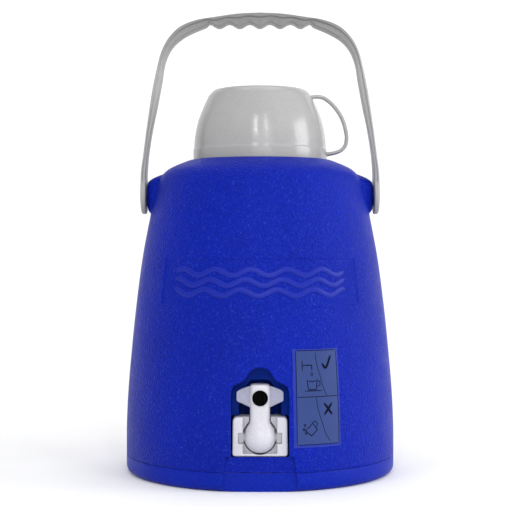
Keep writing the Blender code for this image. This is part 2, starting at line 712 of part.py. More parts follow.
def tap_ring(name, inner, outer, front, back, material):
    """A washer on the tap's axis."""
    obj = ring(name, inner, outer, front, back, material)
    obj.rotation_euler = (math.radians(-90), 0.0, 0.0)
    obj.location = (0.0, 0.0, TAP_Z)
    return obj


def tap_fittings():
    """The seals, the nut inside the liner and the keepers that hold the spout's trunnions."""
    fit = SHANK_RADIUS + GAP
    tap_ring("tap_outer_gasket", fit, OUTER_GASKET_RADIUS, PLATE_BACK + GAP, ALCOVE_BACK - GAP, RUBBER)
    liner_face = ALCOVE_BACK + SHELL_WALL + LINER_WALL + 2 * GAP
    tap_ring("tap_inner_gasket", fit, INNER_GASKET_RADIUS, liner_face, INNER_GASKET_END, RUBBER)
    nut = tap_rod("tap_lock_nut", NUT_RADIUS, INNER_GASKET_END + GAP, NUT_END, WHITE, segments=6)
    cut(nut, tap_rod("nut_bore", fit, ALCOVE_BACK, NUT_END + 10 * MM))
    tap_ring("valve_seat_ring", SHANK_BORE + GAP, SEAT_RADIUS, SEAT_FRONT, PLATE_BACK, RUBBER)
    half = SLOT_HALF_HEIGHT - GAP
    front = PLATE_FACE + GAP
    back = TAP_Y - TRUNNION_RADIUS - GAP
    for side, word in ((-1, "left"), (1, "right")):
        inner, outer = sorted((side * KEEPER_INNER, side * TRUNNION_END))
        name = f"trunnion_keeper_{word}"
        block(name, (inner, front, TAP_Z - half), (outer, back, TAP_Z + half), GREY)


def tap_spout():
    """Ball, trunnions, neck and wings in one piece, with a bore from the ball's foot to the outlet."""
    spout = ball("tap_spout", BALL_RADIUS, WHITE)
    pivot = (TAP_Y, TAP_Z)
    neck = rod("spout_neck", SPOUT_RADIUS, (0.0, *pivot), (0.0, TAP_Y, SPOUT_TOP), bevel=SPOUT_ROUND)
    reach = TRUNNION_END - GAP
    trunnions = rod("trunnions", TRUNNION_RADIUS, (-reach, *pivot), (reach, *pivot))
    join(spout, neck, trunnions)
    for side in (-1, 1):
        outline = [(side * x, z) for x, z in in_metres(WING_OUTLINE)]
        join(spout, slab(f"wing{side}", outline, WING_FRONT, WING_BACK))
    bore_foot = (0.0, TAP_Y, TAP_Z - 1.5 * BALL_RADIUS)
    bore = rod("spout_bore", SPOUT_BORE, bore_foot, (0.0, TAP_Y, OUTLET_HEIGHT + 4 * MM))
    outlet = rod("outlet", OUTLET_RADIUS, (0.0, -BODY_RADIUS, OUTLET_HEIGHT), (0.0, TAP_Y, OUTLET_HEIGHT))
    cut(spout, bore, outlet)


def instruction_label():
    """A thin film that stands just off the shell."""
    back = [(radius + 2 * GAP, height) for radius, height in in_metres(LABEL_SIDE)]
    front = [(radius + LABEL_THICKNESS, height) for radius, height in back]
    sector("instruction_label", [*front, *reversed(back)], LABEL_FROM, LABEL_TO, 6, LABEL)


clear_scene()
PARTS = new_collection("beverage_dispenser")
CUTTERS = new_collection("cutters", hidden=True)
BLUE = plastic("blue_polyethylene", (0.022, 0.033, 0.35), 0.5)
BLUE_BASE = plastic("blue_base_polyethylene", (0.02, 0.03, 0.32), 0.48)
GREY = plastic("grey_plastic", (0.47, 0.47, 0.46), 0.4)
GREY_DARK = plastic("dark_grey_plastic", (0.3, 0.3, 0.3), 0.45)
WHITE = plastic("white_plastic", (0.75, 0.75, 0.78), 0.35)
LINER = plastic("liner_polyethylene", (0.8, 0.8, 0.8), 0.4)
FOAM = plastic("polyurethane_foam", (0.75, 0.66, 0.4), 0.9)
RUBBER = plastic("seal_rubber", (0.03, 0.03, 0.03), 0.7)
BUSH = plastic("bush_plastic", (0.25, 0.25, 0.26), 0.4)
LABEL = plastic("label_film", (0.05, 0.08, 0.28), 0.3)

outer_shell()
base_plate()
foam_fill_plug()
inner_liner()
foam_insulation()
neck_pieces()
stopper()
drinking_cup()
pivots()
bail_handle()
tap_housing()
tap_fittings()
tap_spout()
instruction_label()
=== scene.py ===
import math

import bmesh
import bpy
import numpy as np
from mathutils import Matrix, Vector


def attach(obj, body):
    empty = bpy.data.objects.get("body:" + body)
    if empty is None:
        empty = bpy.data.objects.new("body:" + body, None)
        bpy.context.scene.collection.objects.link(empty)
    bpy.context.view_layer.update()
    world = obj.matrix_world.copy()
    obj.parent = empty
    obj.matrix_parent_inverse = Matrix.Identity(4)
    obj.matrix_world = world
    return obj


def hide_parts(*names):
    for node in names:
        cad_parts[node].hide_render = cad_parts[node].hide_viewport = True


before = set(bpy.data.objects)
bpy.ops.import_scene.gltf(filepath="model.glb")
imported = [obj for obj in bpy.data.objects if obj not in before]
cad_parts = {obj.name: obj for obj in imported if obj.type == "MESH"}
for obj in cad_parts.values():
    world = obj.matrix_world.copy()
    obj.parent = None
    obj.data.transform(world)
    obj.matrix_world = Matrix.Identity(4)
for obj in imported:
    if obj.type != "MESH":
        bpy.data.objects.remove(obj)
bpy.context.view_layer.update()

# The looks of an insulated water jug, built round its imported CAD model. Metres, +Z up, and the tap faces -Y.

MM = 0.001
TURN_STEPS = 176
SMALL_STEPS = 72
SHARP_ANGLE = math.radians(34)
QUARTER = math.pi / 2
WELD = 2e-6
IN_FRONT = -150.0
BEYOND_TAP = -130.0

# Lengths are in millimetres from here on. Shell: radius and height down its side, from the neck groove
SHELL_SIDE = ((64.5, 278.9), (67, 278), (72.4, 275.9), (77.8, 273.6), (83.2, 270.6), (87.4, 266.8),
        (91.6, 259.5), (95.5, 246), (99.9, 225), (105.4, 196), (111.3, 153), (115.9, 109),
        (119.6, 62), (120.5, 35), (120.5, 25), (120.5, 16.7))
SHELL_WALL = 2.5
SHELL_BOTTOM = 16.1
BASE_TOP = 15.9
BASE_LIP = 21.5
BASE_FLOOR = 3.0
BODY_RADIUS = 120.5
GROOVE_RADIUS = 61.6
GROOVE_FLOOR = 273.0
NECK_HOLE = 56.0

# Ears and pivots, along X
PIVOT_Z = 249.0
EAR_FACE = 102.2
EAR_STRETCH = 0.4
EYE_INNER = 102.6
EYE_OUTER = 107.3
EYE_RADIUS = 18.3

# Alcove round the tap, in the plane of the front
ALCOVE_SIDE = 24.0
ALCOVE_FOOT = 28.7
ALCOVE_STEP = -103.0
ALCOVE_BACK = -89.0
ALCOVE_HOOD = ((24, 60), (24, 72), (23.8, 81.2), (22.4, 86.2), (19, 88.8), (14.4, 91),
        (11.4, 94), (9.3, 97.4), (6.6, 100.4), (3.5, 101.9), (0, 102.3))
POCKET_ARCH = ((17.5, 76), (16.2, 80), (13.4, 83.8), (10.8, 87), (9.3, 89.2), (7.6, 90.7), (5, 91.3),
        (0, 91.4))
CHANNEL_FACE = -114.0
CHANNEL = ((-31.5, -1.0, 0), (31.5, -1.0, 0), (28.0, 29.1, 1.0), (-28.0, 29.1, 1.0))

# Tap
TAP_Y = -106.5
TAP_Z = 44.1
BALL = 13.35
BALL_ROOM = 13.8
OUTLET_Z = 77.1
SHANK_HOLE = 10.9
WINDOW_FLOOR = -110.4

# Foam filling plug in the base
FILL_Y = 70.0
FILL_STEPS = 48

# Name panel and label, as angles from the front
PANEL_HALF_ANGLE = math.radians(49.5)
PANEL_LOW = 151.8
PANEL_HIGH = 192.2
PANEL_DEPTH = 0.8
LABEL_FROM = math.radians(14.7)
LABEL_TO = math.radians(33.0)
LABEL_LOW = 38.9
LABEL_HIGH = 116.0


# ---- Curves and outlines, in millimetres ----

def smooth_curve(points, spacing):
    """Points about this far apart on a smooth curve through the given points."""
    points = np.array(points, float)
    gaps = np.linalg.norm(np.diff(points, axis=0), axis=1)
    slopes = np.diff(points, axis=0) / gaps[:, None]
    tangents = np.vstack([slopes[:1], slopes[:1].repeat(len(points) - 2, 0), slopes[-1:]])
    shares = (gaps[1:] + gaps[:-1])[:, None]
    tangents[1:-1] = (slopes[1:] * gaps[:-1, None] + slopes[:-1] * gaps[1:, None]) / shares
    curve = []
    for index, gap in enumerate(gaps):
        steps = max(1, round(gap / spacing))
        for step in range(steps):
            t = step / steps
            start = (2 * t**3 - 3 * t**2 + 1) * points[index] + (t**3 - 2 * t**2 + t) * gap * tangents[index]
            end = (3 * t**2 - 2 * t**3) * points[index + 1] + (t**3 - t**2) * gap * tangents[index + 1]
            curve.append(start + end)
    curve.append(points[-1])
    return np.array(curve)


def filleted(corners, closed=True, steps=5):
    """Rounds each corner (a, b, radius) of an outline."""
    rounded = []
    for index, (a, b, radius) in enumerate(corners):
        corner = np.array((a, b), float)
        at_end = not closed and index in (0, len(corners) - 1)
        if at_end or radius == 0:
            rounded.append(corner)
            continue
        before = np.array(corners[index - 1][:2], float) - corner
        after = np.array(corners[(index + 1) % len(corners)][:2], float) - corner
        lengths = (np.linalg.norm(before), np.linalg.norm(after))
        bend = math.acos(max(-1.0, min(1.0, before @ after / (lengths[0] * lengths[1]))))
        reach = min(radius / math.tan(bend / 2), 0.49 * min(lengths))
        start = corner + before / lengths[0] * reach
        end = corner + after / lengths[1] * reach
        for step in range(steps + 1):
            t = step / steps
            rounded.append((1 - t) ** 2 * start + 2 * t * (1 - t) * corner + t**2 * end)
    return [tuple(point) for point in rounded]


def lathe(*corners, steps=5):
    """A rounded outline that starts and ends on the turning axis."""
    return filleted(corners, closed=False, steps=steps)


def rod_outline(radius, start, end):
    return [(0.0, start), (radius, start), (radius, end), (0.0, end)]


def mirrored(points):
    return [(-x, z) for x, z in reversed(points)]


def turns(count):
    return [2 * math.pi * step / count for step in range(count)]


def squared(value, power):
    """Raises a sine or cosine to a power but keeps its sign, which squares off a circle."""
    return math.copysign(abs(value) ** power, value)


def distances(points):
    """How far along a path each of its points lies."""
    return np.concatenate([[0], np.cumsum(np.linalg.norm(np.diff(points, axis=0), axis=1))])


def directions(path):
    ahead = np.gradient(path, axis=0)
    return ahead / np.linalg.norm(ahead, axis=1)[:, None]


def resampled(outline, spacing):
    """A closed outline cut into even short steps."""
    ring = np.array([*outline, outline[0]], float)
    along = distances(ring)
    count = max(8, round(along[-1] / spacing))
    places = np.linspace(0, along[-1], count, endpoint=False)
    return np.stack([np.interp(places, along, ring[:, axis]) for axis in (0, 1)], axis=1)


def grown(outline, distance):
    """A closed counter-clockwise outline moved outwards."""
    ahead = np.roll(outline, -1, axis=0) - np.roll(outline, 1, axis=0)
    ahead /= np.linalg.norm(ahead, axis=1)[:, None]
    return outline + distance * np.stack([ahead[:, 1], -ahead[:, 0]], axis=1)


SIDE_CURVE = smooth_curve(SHELL_SIDE, 3.0)
SIDE_CURVE[:, 0] = np.minimum(SIDE_CURVE[:, 0], BODY_RADIUS)


def skin_radius(height):
    """The shell's radius at a height."""
    return float(np.interp(height, SIDE_CURVE[::-1, 1], SIDE_CURVE[::-1, 0]))


def skin_point(angle, height, out):
    """A point this far outside the shell, at an angle from the front towards +X."""
    radius = skin_radius(height) + out
    return (radius * math.sin(angle), -radius * math.cos(angle), height)


# ---- Meshes ----

def new_object(name, mesh):
    obj = bpy.data.objects.new(name, mesh)
    bpy.context.scene.collection.objects.link(obj)
    return obj


def mesh_object(name, points, faces):
    """An object made from points in millimetres, with its faces turned outwards."""
    mesh = bpy.data.meshes.new(name)
    mesh.from_pydata([tuple(float(c) * MM for c in point) for point in points], [], faces)
    shape = bmesh.new()
    shape.from_mesh(mesh)
    bmesh.ops.recalc_face_normals(shape, faces=shape.faces)
    shape.to_mesh(mesh)
    shape.free()
    return new_object(name, mesh)


def loft(name, rings):
    """A skin over rings of equal length, with its ends capped."""
    count = len(rings[0])
    points = [point for ring in rings for point in ring]
    faces = []
    for low in range(len(rings) - 1):
        high = low + 1
        for here in range(count):
            there = (here + 1) % count
            faces.append((low * count + here, low * count + there, high * count + there, high * count + here))
    faces.append(tuple(range(count)))
    faces.append(tuple(range(len(points) - count, len(points))))
    return mesh_object(name, points, faces)


def revolve(name, outline, closed=False, steps=None, frame_of=None):
    """Turns an outline of (radius, height) round Z, or in fewer steps round the axis that frame_of gives."""
    steps = steps or (TURN_STEPS if frame_of is None else SMALL_STEPS)
    points = []
    rows = []
    for radius, height in outline:
        if radius < 1e-6:
            rows.append([len(points)])
            points.append((0.0, 0.0, height))
            continue
        rows.append(list(range(len(points), len(points) + steps)))
        for angle in turns(steps):
            points.append((radius * math.sin(angle), -radius * math.cos(angle), height))
    faces = []
    pairs = list(zip(rows, rows[1:]))
    if closed:
        pairs.append((rows[-1], rows[0]))
    for upper, lower in pairs:
        for step in range(steps):
            following = (step + 1) % steps
            corners = [upper[step % len(upper)], upper[following % len(upper)],
                    lower[following % len(lower)], lower[step % len(lower)]]
            faces.append(tuple(dict.fromkeys(corners)))
    faces = [face for face in faces if len(face) > 2]
    if frame_of is not None:
        points = [frame_of @ Vector(point) for point in points]
    return mesh_object(name, points, faces)


def along_x(side):
    """Turns round the handle's pivot axis: height becomes the distance from the middle."""
    turn = Matrix.Rotation(side * QUARTER, 4, "Y")
    return Matrix.Translation((0, 0, PIVOT_Z)) @ turn


def along_y():
    """Turns round the tap's axis: height becomes the place along Y."""
    return Matrix.Translation((0, 0, TAP_Z)) @ Matrix.Rotation(-QUARTER, 4, "X")


def boolean(obj, other, operation):
    modifier = obj.modifiers.new("Boolean", "BOOLEAN")
    modifier.operation = operation
    modifier.object = other
    bpy.context.view_layer.update()
    graph = bpy.context.evaluated_depsgraph_get()
    made = bpy.data.meshes.new_from_object(obj.evaluated_get(graph))
    obj.modifiers.clear()
    shape = bmesh.new()
    shape.from_mesh(made)
    bmesh.ops.remove_doubles(shape, verts=shape.verts, dist=WELD)
    bmesh.ops.dissolve_degenerate(shape, edges=shape.edges, dist=WELD)
    shape.to_mesh(made)
    shape.free()
    obj.data = made
    bpy.data.objects.remove(other)


def cut(obj, *others):
    for other in others:
        boolean(obj, other, "DIFFERENCE")


def join(obj, *others):
    for other in others:
        boolean(obj, other, "UNION")


def flat_ring(outline, y):
    return [(x, y, z) for x, z in outline]


def slab(name, outline, front, back, round_front=0.0, round_back=0.0, spacing=1.0):
    """A flat outline of (x, z) given thickness along Y, with rounded front and back rims."""
    outline = resampled(outline, spacing)
    rings = []
    for step in range(5):
        turn = QUARTER * step / 4
        if round_front:
            inward = round_front * (1 - math.sin(turn))
            rings.append(flat_ring(grown(outline, -inward), front + round_front * (1 - math.cos(turn))))
    if not round_front:
        rings.append(flat_ring(outline, front))
    if not round_back:
        rings.append(flat_ring(outline, back))
    for step in range(5):
        turn = QUARTER * step / 4
        if round_back:
            inward = round_back * (1 - math.cos(turn))
            rings.append(flat_ring(grown(outline, -inward), back - round_back * (1 - math.sin(turn))))
    return loft(name, rings)


def rectangle(x_low, x_high, z_low, z_high, radius):
    corners = ((x_low, z_low), (x_high, z_low), (x_high, z_high), (x_low, z_high))
    return filleted([(x, z, radius) for x, z in corners])


def front_cutter(name, outline, floor, edge=1.4, corner=1.5):
    """Cuts a recess into the shell's front, with a rim that is rounded along the skin and a rounded floor."""
    outline = resampled(outline, 1.0)

    def skin_ring(offset, depth):
        ring = []
        for x, z in grown(outline, offset):
            radius = skin_radius(max(z, SHELL_SIDE[-1][1]))
            ring.append((x, -math.sqrt(radius**2 - x**2) + depth, z))
        return ring

    rings = [flat_ring(grown(outline, edge + 0.8), IN_FRONT), skin_ring(edge + 0.8, -0.45)]
    for degrees in (22, 36, 50, 64, 78, 90):
        turn = math.radians(degrees)
        rings.append(skin_ring(edge * (1 - math.sin(turn)), edge * (1 - math.cos(turn))))
    for degrees in (0, 22, 45, 68, 90):
        turn = math.radians(degrees)
        inward = corner * (1 - math.cos(turn))
        rings.append(flat_ring(grown(outline, -inward), floor - corner * (1 - math.sin(turn))))
    return loft(name, rings)


def skin_slab(name, angles, heights, inner, outer):
    """A slab that follows the skin, between two depths that are functions of (angle, height)."""
    rows, columns = len(heights), len(angles)
    points = [skin_point(a, z, inner(a, z)) for z in heights for a in angles]
    points += [skin_point(a, z, outer(a, z)) for z in heights for a in angles]
    size = rows * columns
    faces = []
    for row in range(rows - 1):
        for column in range(columns - 1):
            first = row * columns + column
            square = (first, first + 1, first + columns + 1, first + columns)
            faces.append(square)
            faces.append(tuple(size + corner for corner in reversed(square)))
    rim = [*range(columns), *[row * columns + columns - 1 for row in range(1, rows)],
           *range(size - 2, size - columns - 1, -1), *[row * columns for row in range(rows - 2, 0, -1)]]
    for here, there in zip(rim, [*rim[1:], rim[0]]):
        faces.append((here, there, size + there, size + here))
    return mesh_object(name, points, faces)


def edge_steps(low, high, steps, insets):
    """Places from low to high, with extra ones at these distances in from both ends."""
    places = set(np.linspace(low, high, steps))
    for inset in insets:
        places |= {low + inset, high - inset}
    return sorted(places)


def piece(obj, material, body, slot, *nodes, weighted=False):
    """Gives a visible piece its shading, material and body, and hides the CAD nodes that it stands for. The
    slot is not used.
    """
    obj.data.shade_smooth()
    obj.data.set_sharp_from_angle(angle=SHARP_ANGLE)
    if weighted:
        obj.modifiers.new("Even shading", "WEIGHTED_NORMAL").keep_sharp = True
    obj.data.materials.clear()
    obj.data.materials.append(material)
    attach(obj, body)
    if nodes:
        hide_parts(*nodes)
    return obj


def paint(obj, material, chosen):
    """Gives the faces whose middles, in millimetres, are chosen another material."""
    obj.data.materials.append(material)
    for face in obj.data.polygons:
        if chosen(obj.matrix_world @ face.center / MM):
            face.material_index = len(obj.data.materials) - 1


# ---- Materials ----

class Nodes:
    """A short way to write a node tree."""

    def __init__(self, name):
        self.material = bpy.data.materials.new(name)
        self.material.use_nodes = True
        self.tree = self.material.node_tree
        self.shader = self.tree.nodes["Principled BSDF"]
        place = self.add("ShaderNodeTexCoord")
        self.place = place.outputs["Object"]

    def add(self, kind, **settings):
        node = self.tree.nodes.new(kind)
        for key, value in settings.items():
            setattr(node, key, value)
        return node

    def link(self, source, target):
        self.tree.links.new(source, target)

    def noise(self, scale, detail=3.0, roughness=0.55):
        node = self.add("ShaderNodeTexNoise")
        node.inputs["Scale"].default_value = scale
        node.inputs["Detail"].default_value = detail
        node.inputs["Roughness"].default_value = roughness
        self.link(self.place, node.inputs["Vector"])
        return node.outputs["Fac"]

    def pebbles(self, scale, smoothness=0.6):
        node = self.add("ShaderNodeTexVoronoi", feature="SMOOTH_F1")
        node.inputs["Scale"].default_value = scale
        node.inputs["Smoothness"].default_value = smoothness
        self.link(self.place, node.inputs["Vector"])
        return node.outputs["Distance"]

    def ramp(self, source, low, high, start=0.0, end=1.0):
        """Maps start..end of the source to low..high."""
        node = self.add("ShaderNodeMapRange")
        values = {"From Min": start, "From Max": end, "To Min": low, "To Max": high}
        for key, value in values.items():
            node.inputs[key].default_value = value
        self.link(source, node.inputs["Value"])
        return node.outputs["Result"]

    def maths(self, operation, first, second):
        node = self.add("ShaderNodeMath", operation=operation)
        for socket, value in zip(node.inputs, (first, second)):
            if isinstance(value, (int, float)):
                socket.default_value = value
            else:
                self.link(value, socket)
        return node.outputs["Value"]

    def mix(self, share, first, second):
        node = self.add("ShaderNodeMix", data_type="RGBA")
        sockets = [s for s in node.inputs if s.type == "RGBA"]
        for socket, value in zip(sockets, (first, second)):
            if isinstance(value, tuple):
                socket.default_value = (*value, 1.0)
            else:
                self.link(value, socket)
        self.link(share, node.inputs[0])
        return next(s for s in node.outputs if s.type == "RGBA")

    def edges(self, radius):
        """1 along edges and 0 on flat stretches."""
        bevel = self.add("ShaderNodeBevel", samples=4)
        bevel.inputs["Radius"].default_value = radius
        geometry = self.add("ShaderNodeNewGeometry")
        dot = self.add("ShaderNodeVectorMath", operation="DOT_PRODUCT")
        self.link(bevel.outputs["Normal"], dot.inputs[0])
        self.link(geometry.outputs["Normal"], dot.inputs[1])
        return self.ramp(dot.outputs["Value"], 1.0, 0.0, 0.8, 0.995)

    def bump(self, height, distance, rounding=0.0):
        node = self.add("ShaderNodeBump")
        node.inputs["Distance"].default_value = distance
        node.inputs["Strength"].default_value = 1.0
        self.link(height, node.inputs["Height"])
        if rounding:
            bevel = self.add("ShaderNodeBevel", samples=6)
            bevel.inputs["Radius"].default_value = rounding
            self.link(bevel.outputs["Normal"], node.inputs["Normal"])
        self.link(node.outputs["Normal"], self.shader.inputs["Normal"])

    def out(self, socket, value):
        if isinstance(value, (int, float)):
            self.shader.inputs[socket].default_value = value
        else:
            self.link(value, self.shader.inputs[socket])


def tinted(colour, factor):
    return tuple(min(1.0, channel * factor) for channel in colour)


def moulded(name, colour, roughness, *, grain, height, wear, rounding=0.0006, gloss=0.5, scatter=0.0,
        cloud=0.12, fleck_and_glint_scale=1500.0, fleck_and_glint_share=0.35, fleck_and_glint_colour=None, mottle=600.0, mottled=0.12, ripple=1.3,
        painted_shade_by_height=None):
    """Moulded plastic: pebbled grain, faint clouding, lighter flecks that are partly grain and partly painted
    glints, handling marks in the gloss, edges rubbed paler, and an optional painted shade that darkens the
    colour with height.
    """
    nodes = Nodes(name)
    clouding = nodes.noise(9.0, 4.0)
    mottling = nodes.noise(mottle, 2.0)
    # Lighter flecks, partly grain and partly painted glints standing in for small highlights.
    fleck_and_glint_noise = nodes.noise(fleck_and_glint_scale, 2.0)
    cloudy = nodes.ramp(clouding, 0.0, 1.0, 0.3, 0.7)
    base = nodes.mix(cloudy, tinted(colour, 1 - cloud), tinted(colour, 1 + cloud))
    base = nodes.mix(nodes.ramp(mottling, 0.0, mottled, 0.45, 0.65), base, tinted(colour, 0.55))
    base = nodes.mix(nodes.ramp(fleck_and_glint_noise, 0.0, fleck_and_glint_share, 0.56, 0.74), base, fleck_and_glint_colour or tinted(colour, 1.5))
    worn = tuple(channel + (0.9 - channel) * 0.3 for channel in colour)
    scuffs = nodes.ramp(nodes.noise(160.0, 5.0, 0.7), 0.0, 1.0, 0.45, 0.62)
    rubbed = nodes.maths("MULTIPLY", nodes.edges(0.0012), scuffs)
    base = nodes.mix(nodes.maths("MULTIPLY", rubbed, wear), base, worn)
    # Painted shade: above the low height the colour darkens, reaching this factor at the high height.
    if painted_shade_by_height:
        low, high, factor = painted_shade_by_height
        height_of = nodes.add("ShaderNodeSeparateXYZ")
        nodes.link(nodes.place, height_of.inputs["Vector"])
        share = nodes.ramp(height_of.outputs["Z"], 0.0, 1.0, low, high)
        base = nodes.mix(share, base, tinted(colour, factor))
    nodes.out("Base Color", base)
    marks = nodes.ramp(nodes.noise(28.0, 6.0, 0.7), -0.06, 0.09, 0.3, 0.7)
    fine = nodes.ramp(nodes.noise(400.0, 3.0), -0.04, 0.04, 0.3, 0.7)
    nodes.out("Roughness", nodes.maths("ADD", nodes.maths("ADD", marks, fine), roughness))
    rippled = nodes.maths("MULTIPLY", nodes.noise(grain * ripple, 2.0), 1.2)
    nodes.bump(nodes.maths("ADD", nodes.pebbles(grain), rippled), height, rounding)
    nodes.out("IOR", 1.51)
    nodes.out("Specular IOR Level", gloss)
    if scatter:
        nodes.out("Subsurface Weight", scatter)
        nodes.shader.inputs["Subsurface Radius"].default_value = (0.004, 0.004, 0.005)
    return nodes.material


def foam_material():
    nodes = Nodes("polyurethane_foam")
    cells = nodes.pebbles(1300.0, 0.3)
    cloudy = nodes.ramp(nodes.noise(40.0), 0.0, 1.0, 0.35, 0.65)
    base = nodes.mix(cloudy, (0.68, 0.55, 0.28), (0.8, 0.7, 0.42))
    nodes.out("Base Color", nodes.mix(nodes.ramp(cells, 0.4, 0.0, 0.0, 0.35), base, (0.45, 0.34, 0.15)))
    nodes.out("Roughness", nodes.ramp(nodes.noise(300.0), 0.82, 0.98))
    nodes.bump(cells, 0.0006)
    return nodes.material


def rubber_material():
    nodes = Nodes("seal_rubber")
    dusty = nodes.ramp(nodes.noise(60.0, 5.0), 0.0, 1.0, 0.35, 0.7)
    nodes.out("Base Color", nodes.mix(dusty, (0.014, 0.014, 0.015), (0.04, 0.04, 0.042)))
    nodes.out("Roughness", nodes.ramp(nodes.noise(220.0, 4.0), 0.55, 0.8, 0.3, 0.7))
    nodes.bump(nodes.noise(1800.0, 3.0), 0.00008)
    return nodes.material


def print_material():
    nodes = Nodes("label_print")
    patchy = nodes.ramp(nodes.noise(500.0, 4.0), 0.0, 1.0, 0.35, 0.7)
    nodes.out("Base Color", nodes.mix(patchy, (0.001, 0.002, 0.01), (0.004, 0.006, 0.022)))
    nodes.out("Roughness", nodes.ramp(nodes.noise(300.0), 0.45, 0.7, 0.3, 0.7))
    nodes.out("Specular IOR Level", 0.04)
    nodes.bump(nodes.noise(2500.0, 2.0), 0.00003)
    return nodes.material


# On the blue, the lighter flecks are painted glints as well as grain.
PEBBLED = {"grain": 640.0, "wear": 0.1, "fleck_and_glint_scale": 560.0, "fleck_and_glint_colour": (0.02, 0.045, 0.42), "mottle": 520.0}
FILM = {"grain": 450.0, "height": 0.00004, "rounding": 0.0002, "wear": 0.15}
BLUE = moulded("blue_polyethylene", (0.001, 0.012, 0.31), 0.4, height=0.0006, gloss=0.08, fleck_and_glint_share=0.7,
        mottled=0.45, ripple=0.8, **PEBBLED)
BLUE_BASE = moulded("blue_base_polyethylene", (0.001, 0.014, 0.32), 0.4, height=0.0003, gloss=0.1,
        fleck_and_glint_share=0.4, mottled=0.3, **PEBBLED)
BLUE_SMOOTH = moulded("blue_relief", (0.002, 0.013, 0.3), 0.42, grain=700.0, height=0.00008, wear=0.1,
        gloss=0.24)
# The recess blue is a darker, rougher copy of the body's blue: painted shade in the alcove round the tap.
BLUE_RECESS_SHADE = moulded("blue_recess_painted_shade", (0.001, 0.02, 0.24), 0.6, grain=700.0, height=0.0001, wear=0.0,
        gloss=0.08)
GREY = moulded("grey_plastic", (0.34, 0.34, 0.34), 0.17, grain=900.0, height=0.00002, wear=0.1, scatter=0.05,
        cloud=0.03)
# The handle's grip is darkened from 0.36 m up to 0.405 m: painted shade.
HANDLE_GREY = moulded("grey_handle_plastic", (0.33, 0.33, 0.33), 0.4, grain=800.0, height=0.00006, wear=0.2,
        scatter=0.03, gloss=0.35, cloud=0.05, painted_shade_by_height=(0.36, 0.405, 0.57))
DARK_GREY = moulded("dark_grey_plastic", (0.16, 0.16, 0.17), 0.42, grain=900.0, height=0.00008, wear=0.3)
WHITE = moulded("white_plastic", (0.57, 0.565, 0.62), 0.32, grain=1100.0, height=0.00003, rounding=0.0005,
        wear=0.08, scatter=0.08, gloss=0.4, cloud=0.03)
# A darker, bluish copy of the white, painted on the wings as shade.
WING_SHADE = moulded("white_plastic_wing_shade", (0.34, 0.345, 0.45), 0.34, grain=1100.0, height=0.00003, rounding=0.0004,
        wear=0.1, gloss=0.4, cloud=0.05)
# A rougher copy of the white with real grain, darker grey as painted shade on the window floor.
GRAINED_AND_SHADED = moulded("white_plastic_grained_and_shaded", (0.4, 0.395, 0.44), 0.5, grain=1400.0, height=0.0002,
        rounding=0.0002, wear=0.0, gloss=0.3, cloud=0.08, fleck_and_glint_scale=900.0)
# A darker grey copy for the trunnion keepers: painted shade.
KEEPER_SHADE = moulded("keeper_plastic_painted_shade", (0.35, 0.35, 0.39), 0.45, grain=1400.0, height=0.00012, wear=0.2,
        cloud=0.06)
LINER = moulded("liner_polyethylene", (0.7, 0.71, 0.73), 0.35, grain=500.0, height=0.00006, wear=0.05,
        scatter=0.12, cloud=0.04)
LABEL = moulded("label_film", (0.022, 0.045, 0.17), 0.42, gloss=0.25, cloud=0.14, **FILM)
LABEL_MARGIN = moulded("label_film_margin", (0.004, 0.02, 0.27), 0.38, gloss=0.3, cloud=0.1, **FILM)
# Near black: painted shade inside the outlet and down the spout's bore.
BORE_SHADE = moulded("bore_painted_shade", (0.004, 0.004, 0.005), 0.7, grain=900.0, height=0.00005, wear=0.0, gloss=0.1)
PRINT = print_material()
FOAM = foam_material()
RUBBER = rubber_material()


# ---- Shell and base ----

def ear(side):
    """A round boss for the handle's pivot, with a soft outer edge, drawn out downwards."""
    edge = ((20.8, 70), (20.5, 78), (19.4, 83.5), (18.1, 87.5), (16.8, 91), (15.4, 94.4), (13.6, 97.8),
            (11.2, 100.8), (8, EAR_FACE))
    outline = [(0, 70), *smooth_curve(edge, 1), (0, EAR_FACE)]
    boss = revolve(f"ear{side}", outline, frame_of=along_x(side))
    for vertex in boss.data.vertices:
        below = PIVOT_Z * MM - vertex.co.z
        vertex.co.z -= EAR_STRETCH * max(0, below)
    return boss


def pivot_rod(name, side, radius, start, end):
    return revolve(name, rod_outline(radius, start, end), frame_of=along_x(side))


def alcove_outline():
    hood = smooth_curve(ALCOVE_HOOD, 1.2)
    foot = filleted(((-ALCOVE_SIDE, ALCOVE_FOOT, 1.5), (ALCOVE_SIDE, ALCOVE_FOOT, 1.5), (ALCOVE_SIDE, 60, 0),
            (-ALCOVE_SIDE, 60, 0)))
    return [*foot[:-2], *hood, *mirrored(hood[:-1])]


def channel_cutter():
    return front_cutter("channel", filleted(CHANNEL), CHANNEL_FACE, 1.2, 0.9)


def panel_cutter():
    """A shallow curved recess with a soft border."""
    radius = skin_radius((PANEL_LOW + PANEL_HIGH) / 2)
    margin = 0.7
    border = ((-margin, 0.4), (-0.15, 0.05), (0.35, -0.35), (0.9, -0.65), (1.6, -PANEL_DEPTH),
            (100, -PANEL_DEPTH))

    def floor(angle, height):
        inside = min((PANEL_HALF_ANGLE - abs(angle)) * radius, height - PANEL_LOW, PANEL_HIGH - height)
        return float(np.interp(inside, *zip(*border)))

    insets = [point[0] + margin for point in border[1:-1]]
    half = PANEL_HALF_ANGLE + margin / radius
    angles = edge_steps(-half, half, 90, [inset / radius for inset in insets])
    heights = edge_steps(PANEL_LOW - margin, PANEL_HIGH + margin, 24, insets)
    return skin_slab("panel_cutter", angles, heights, floor, lambda angle, height: 3)


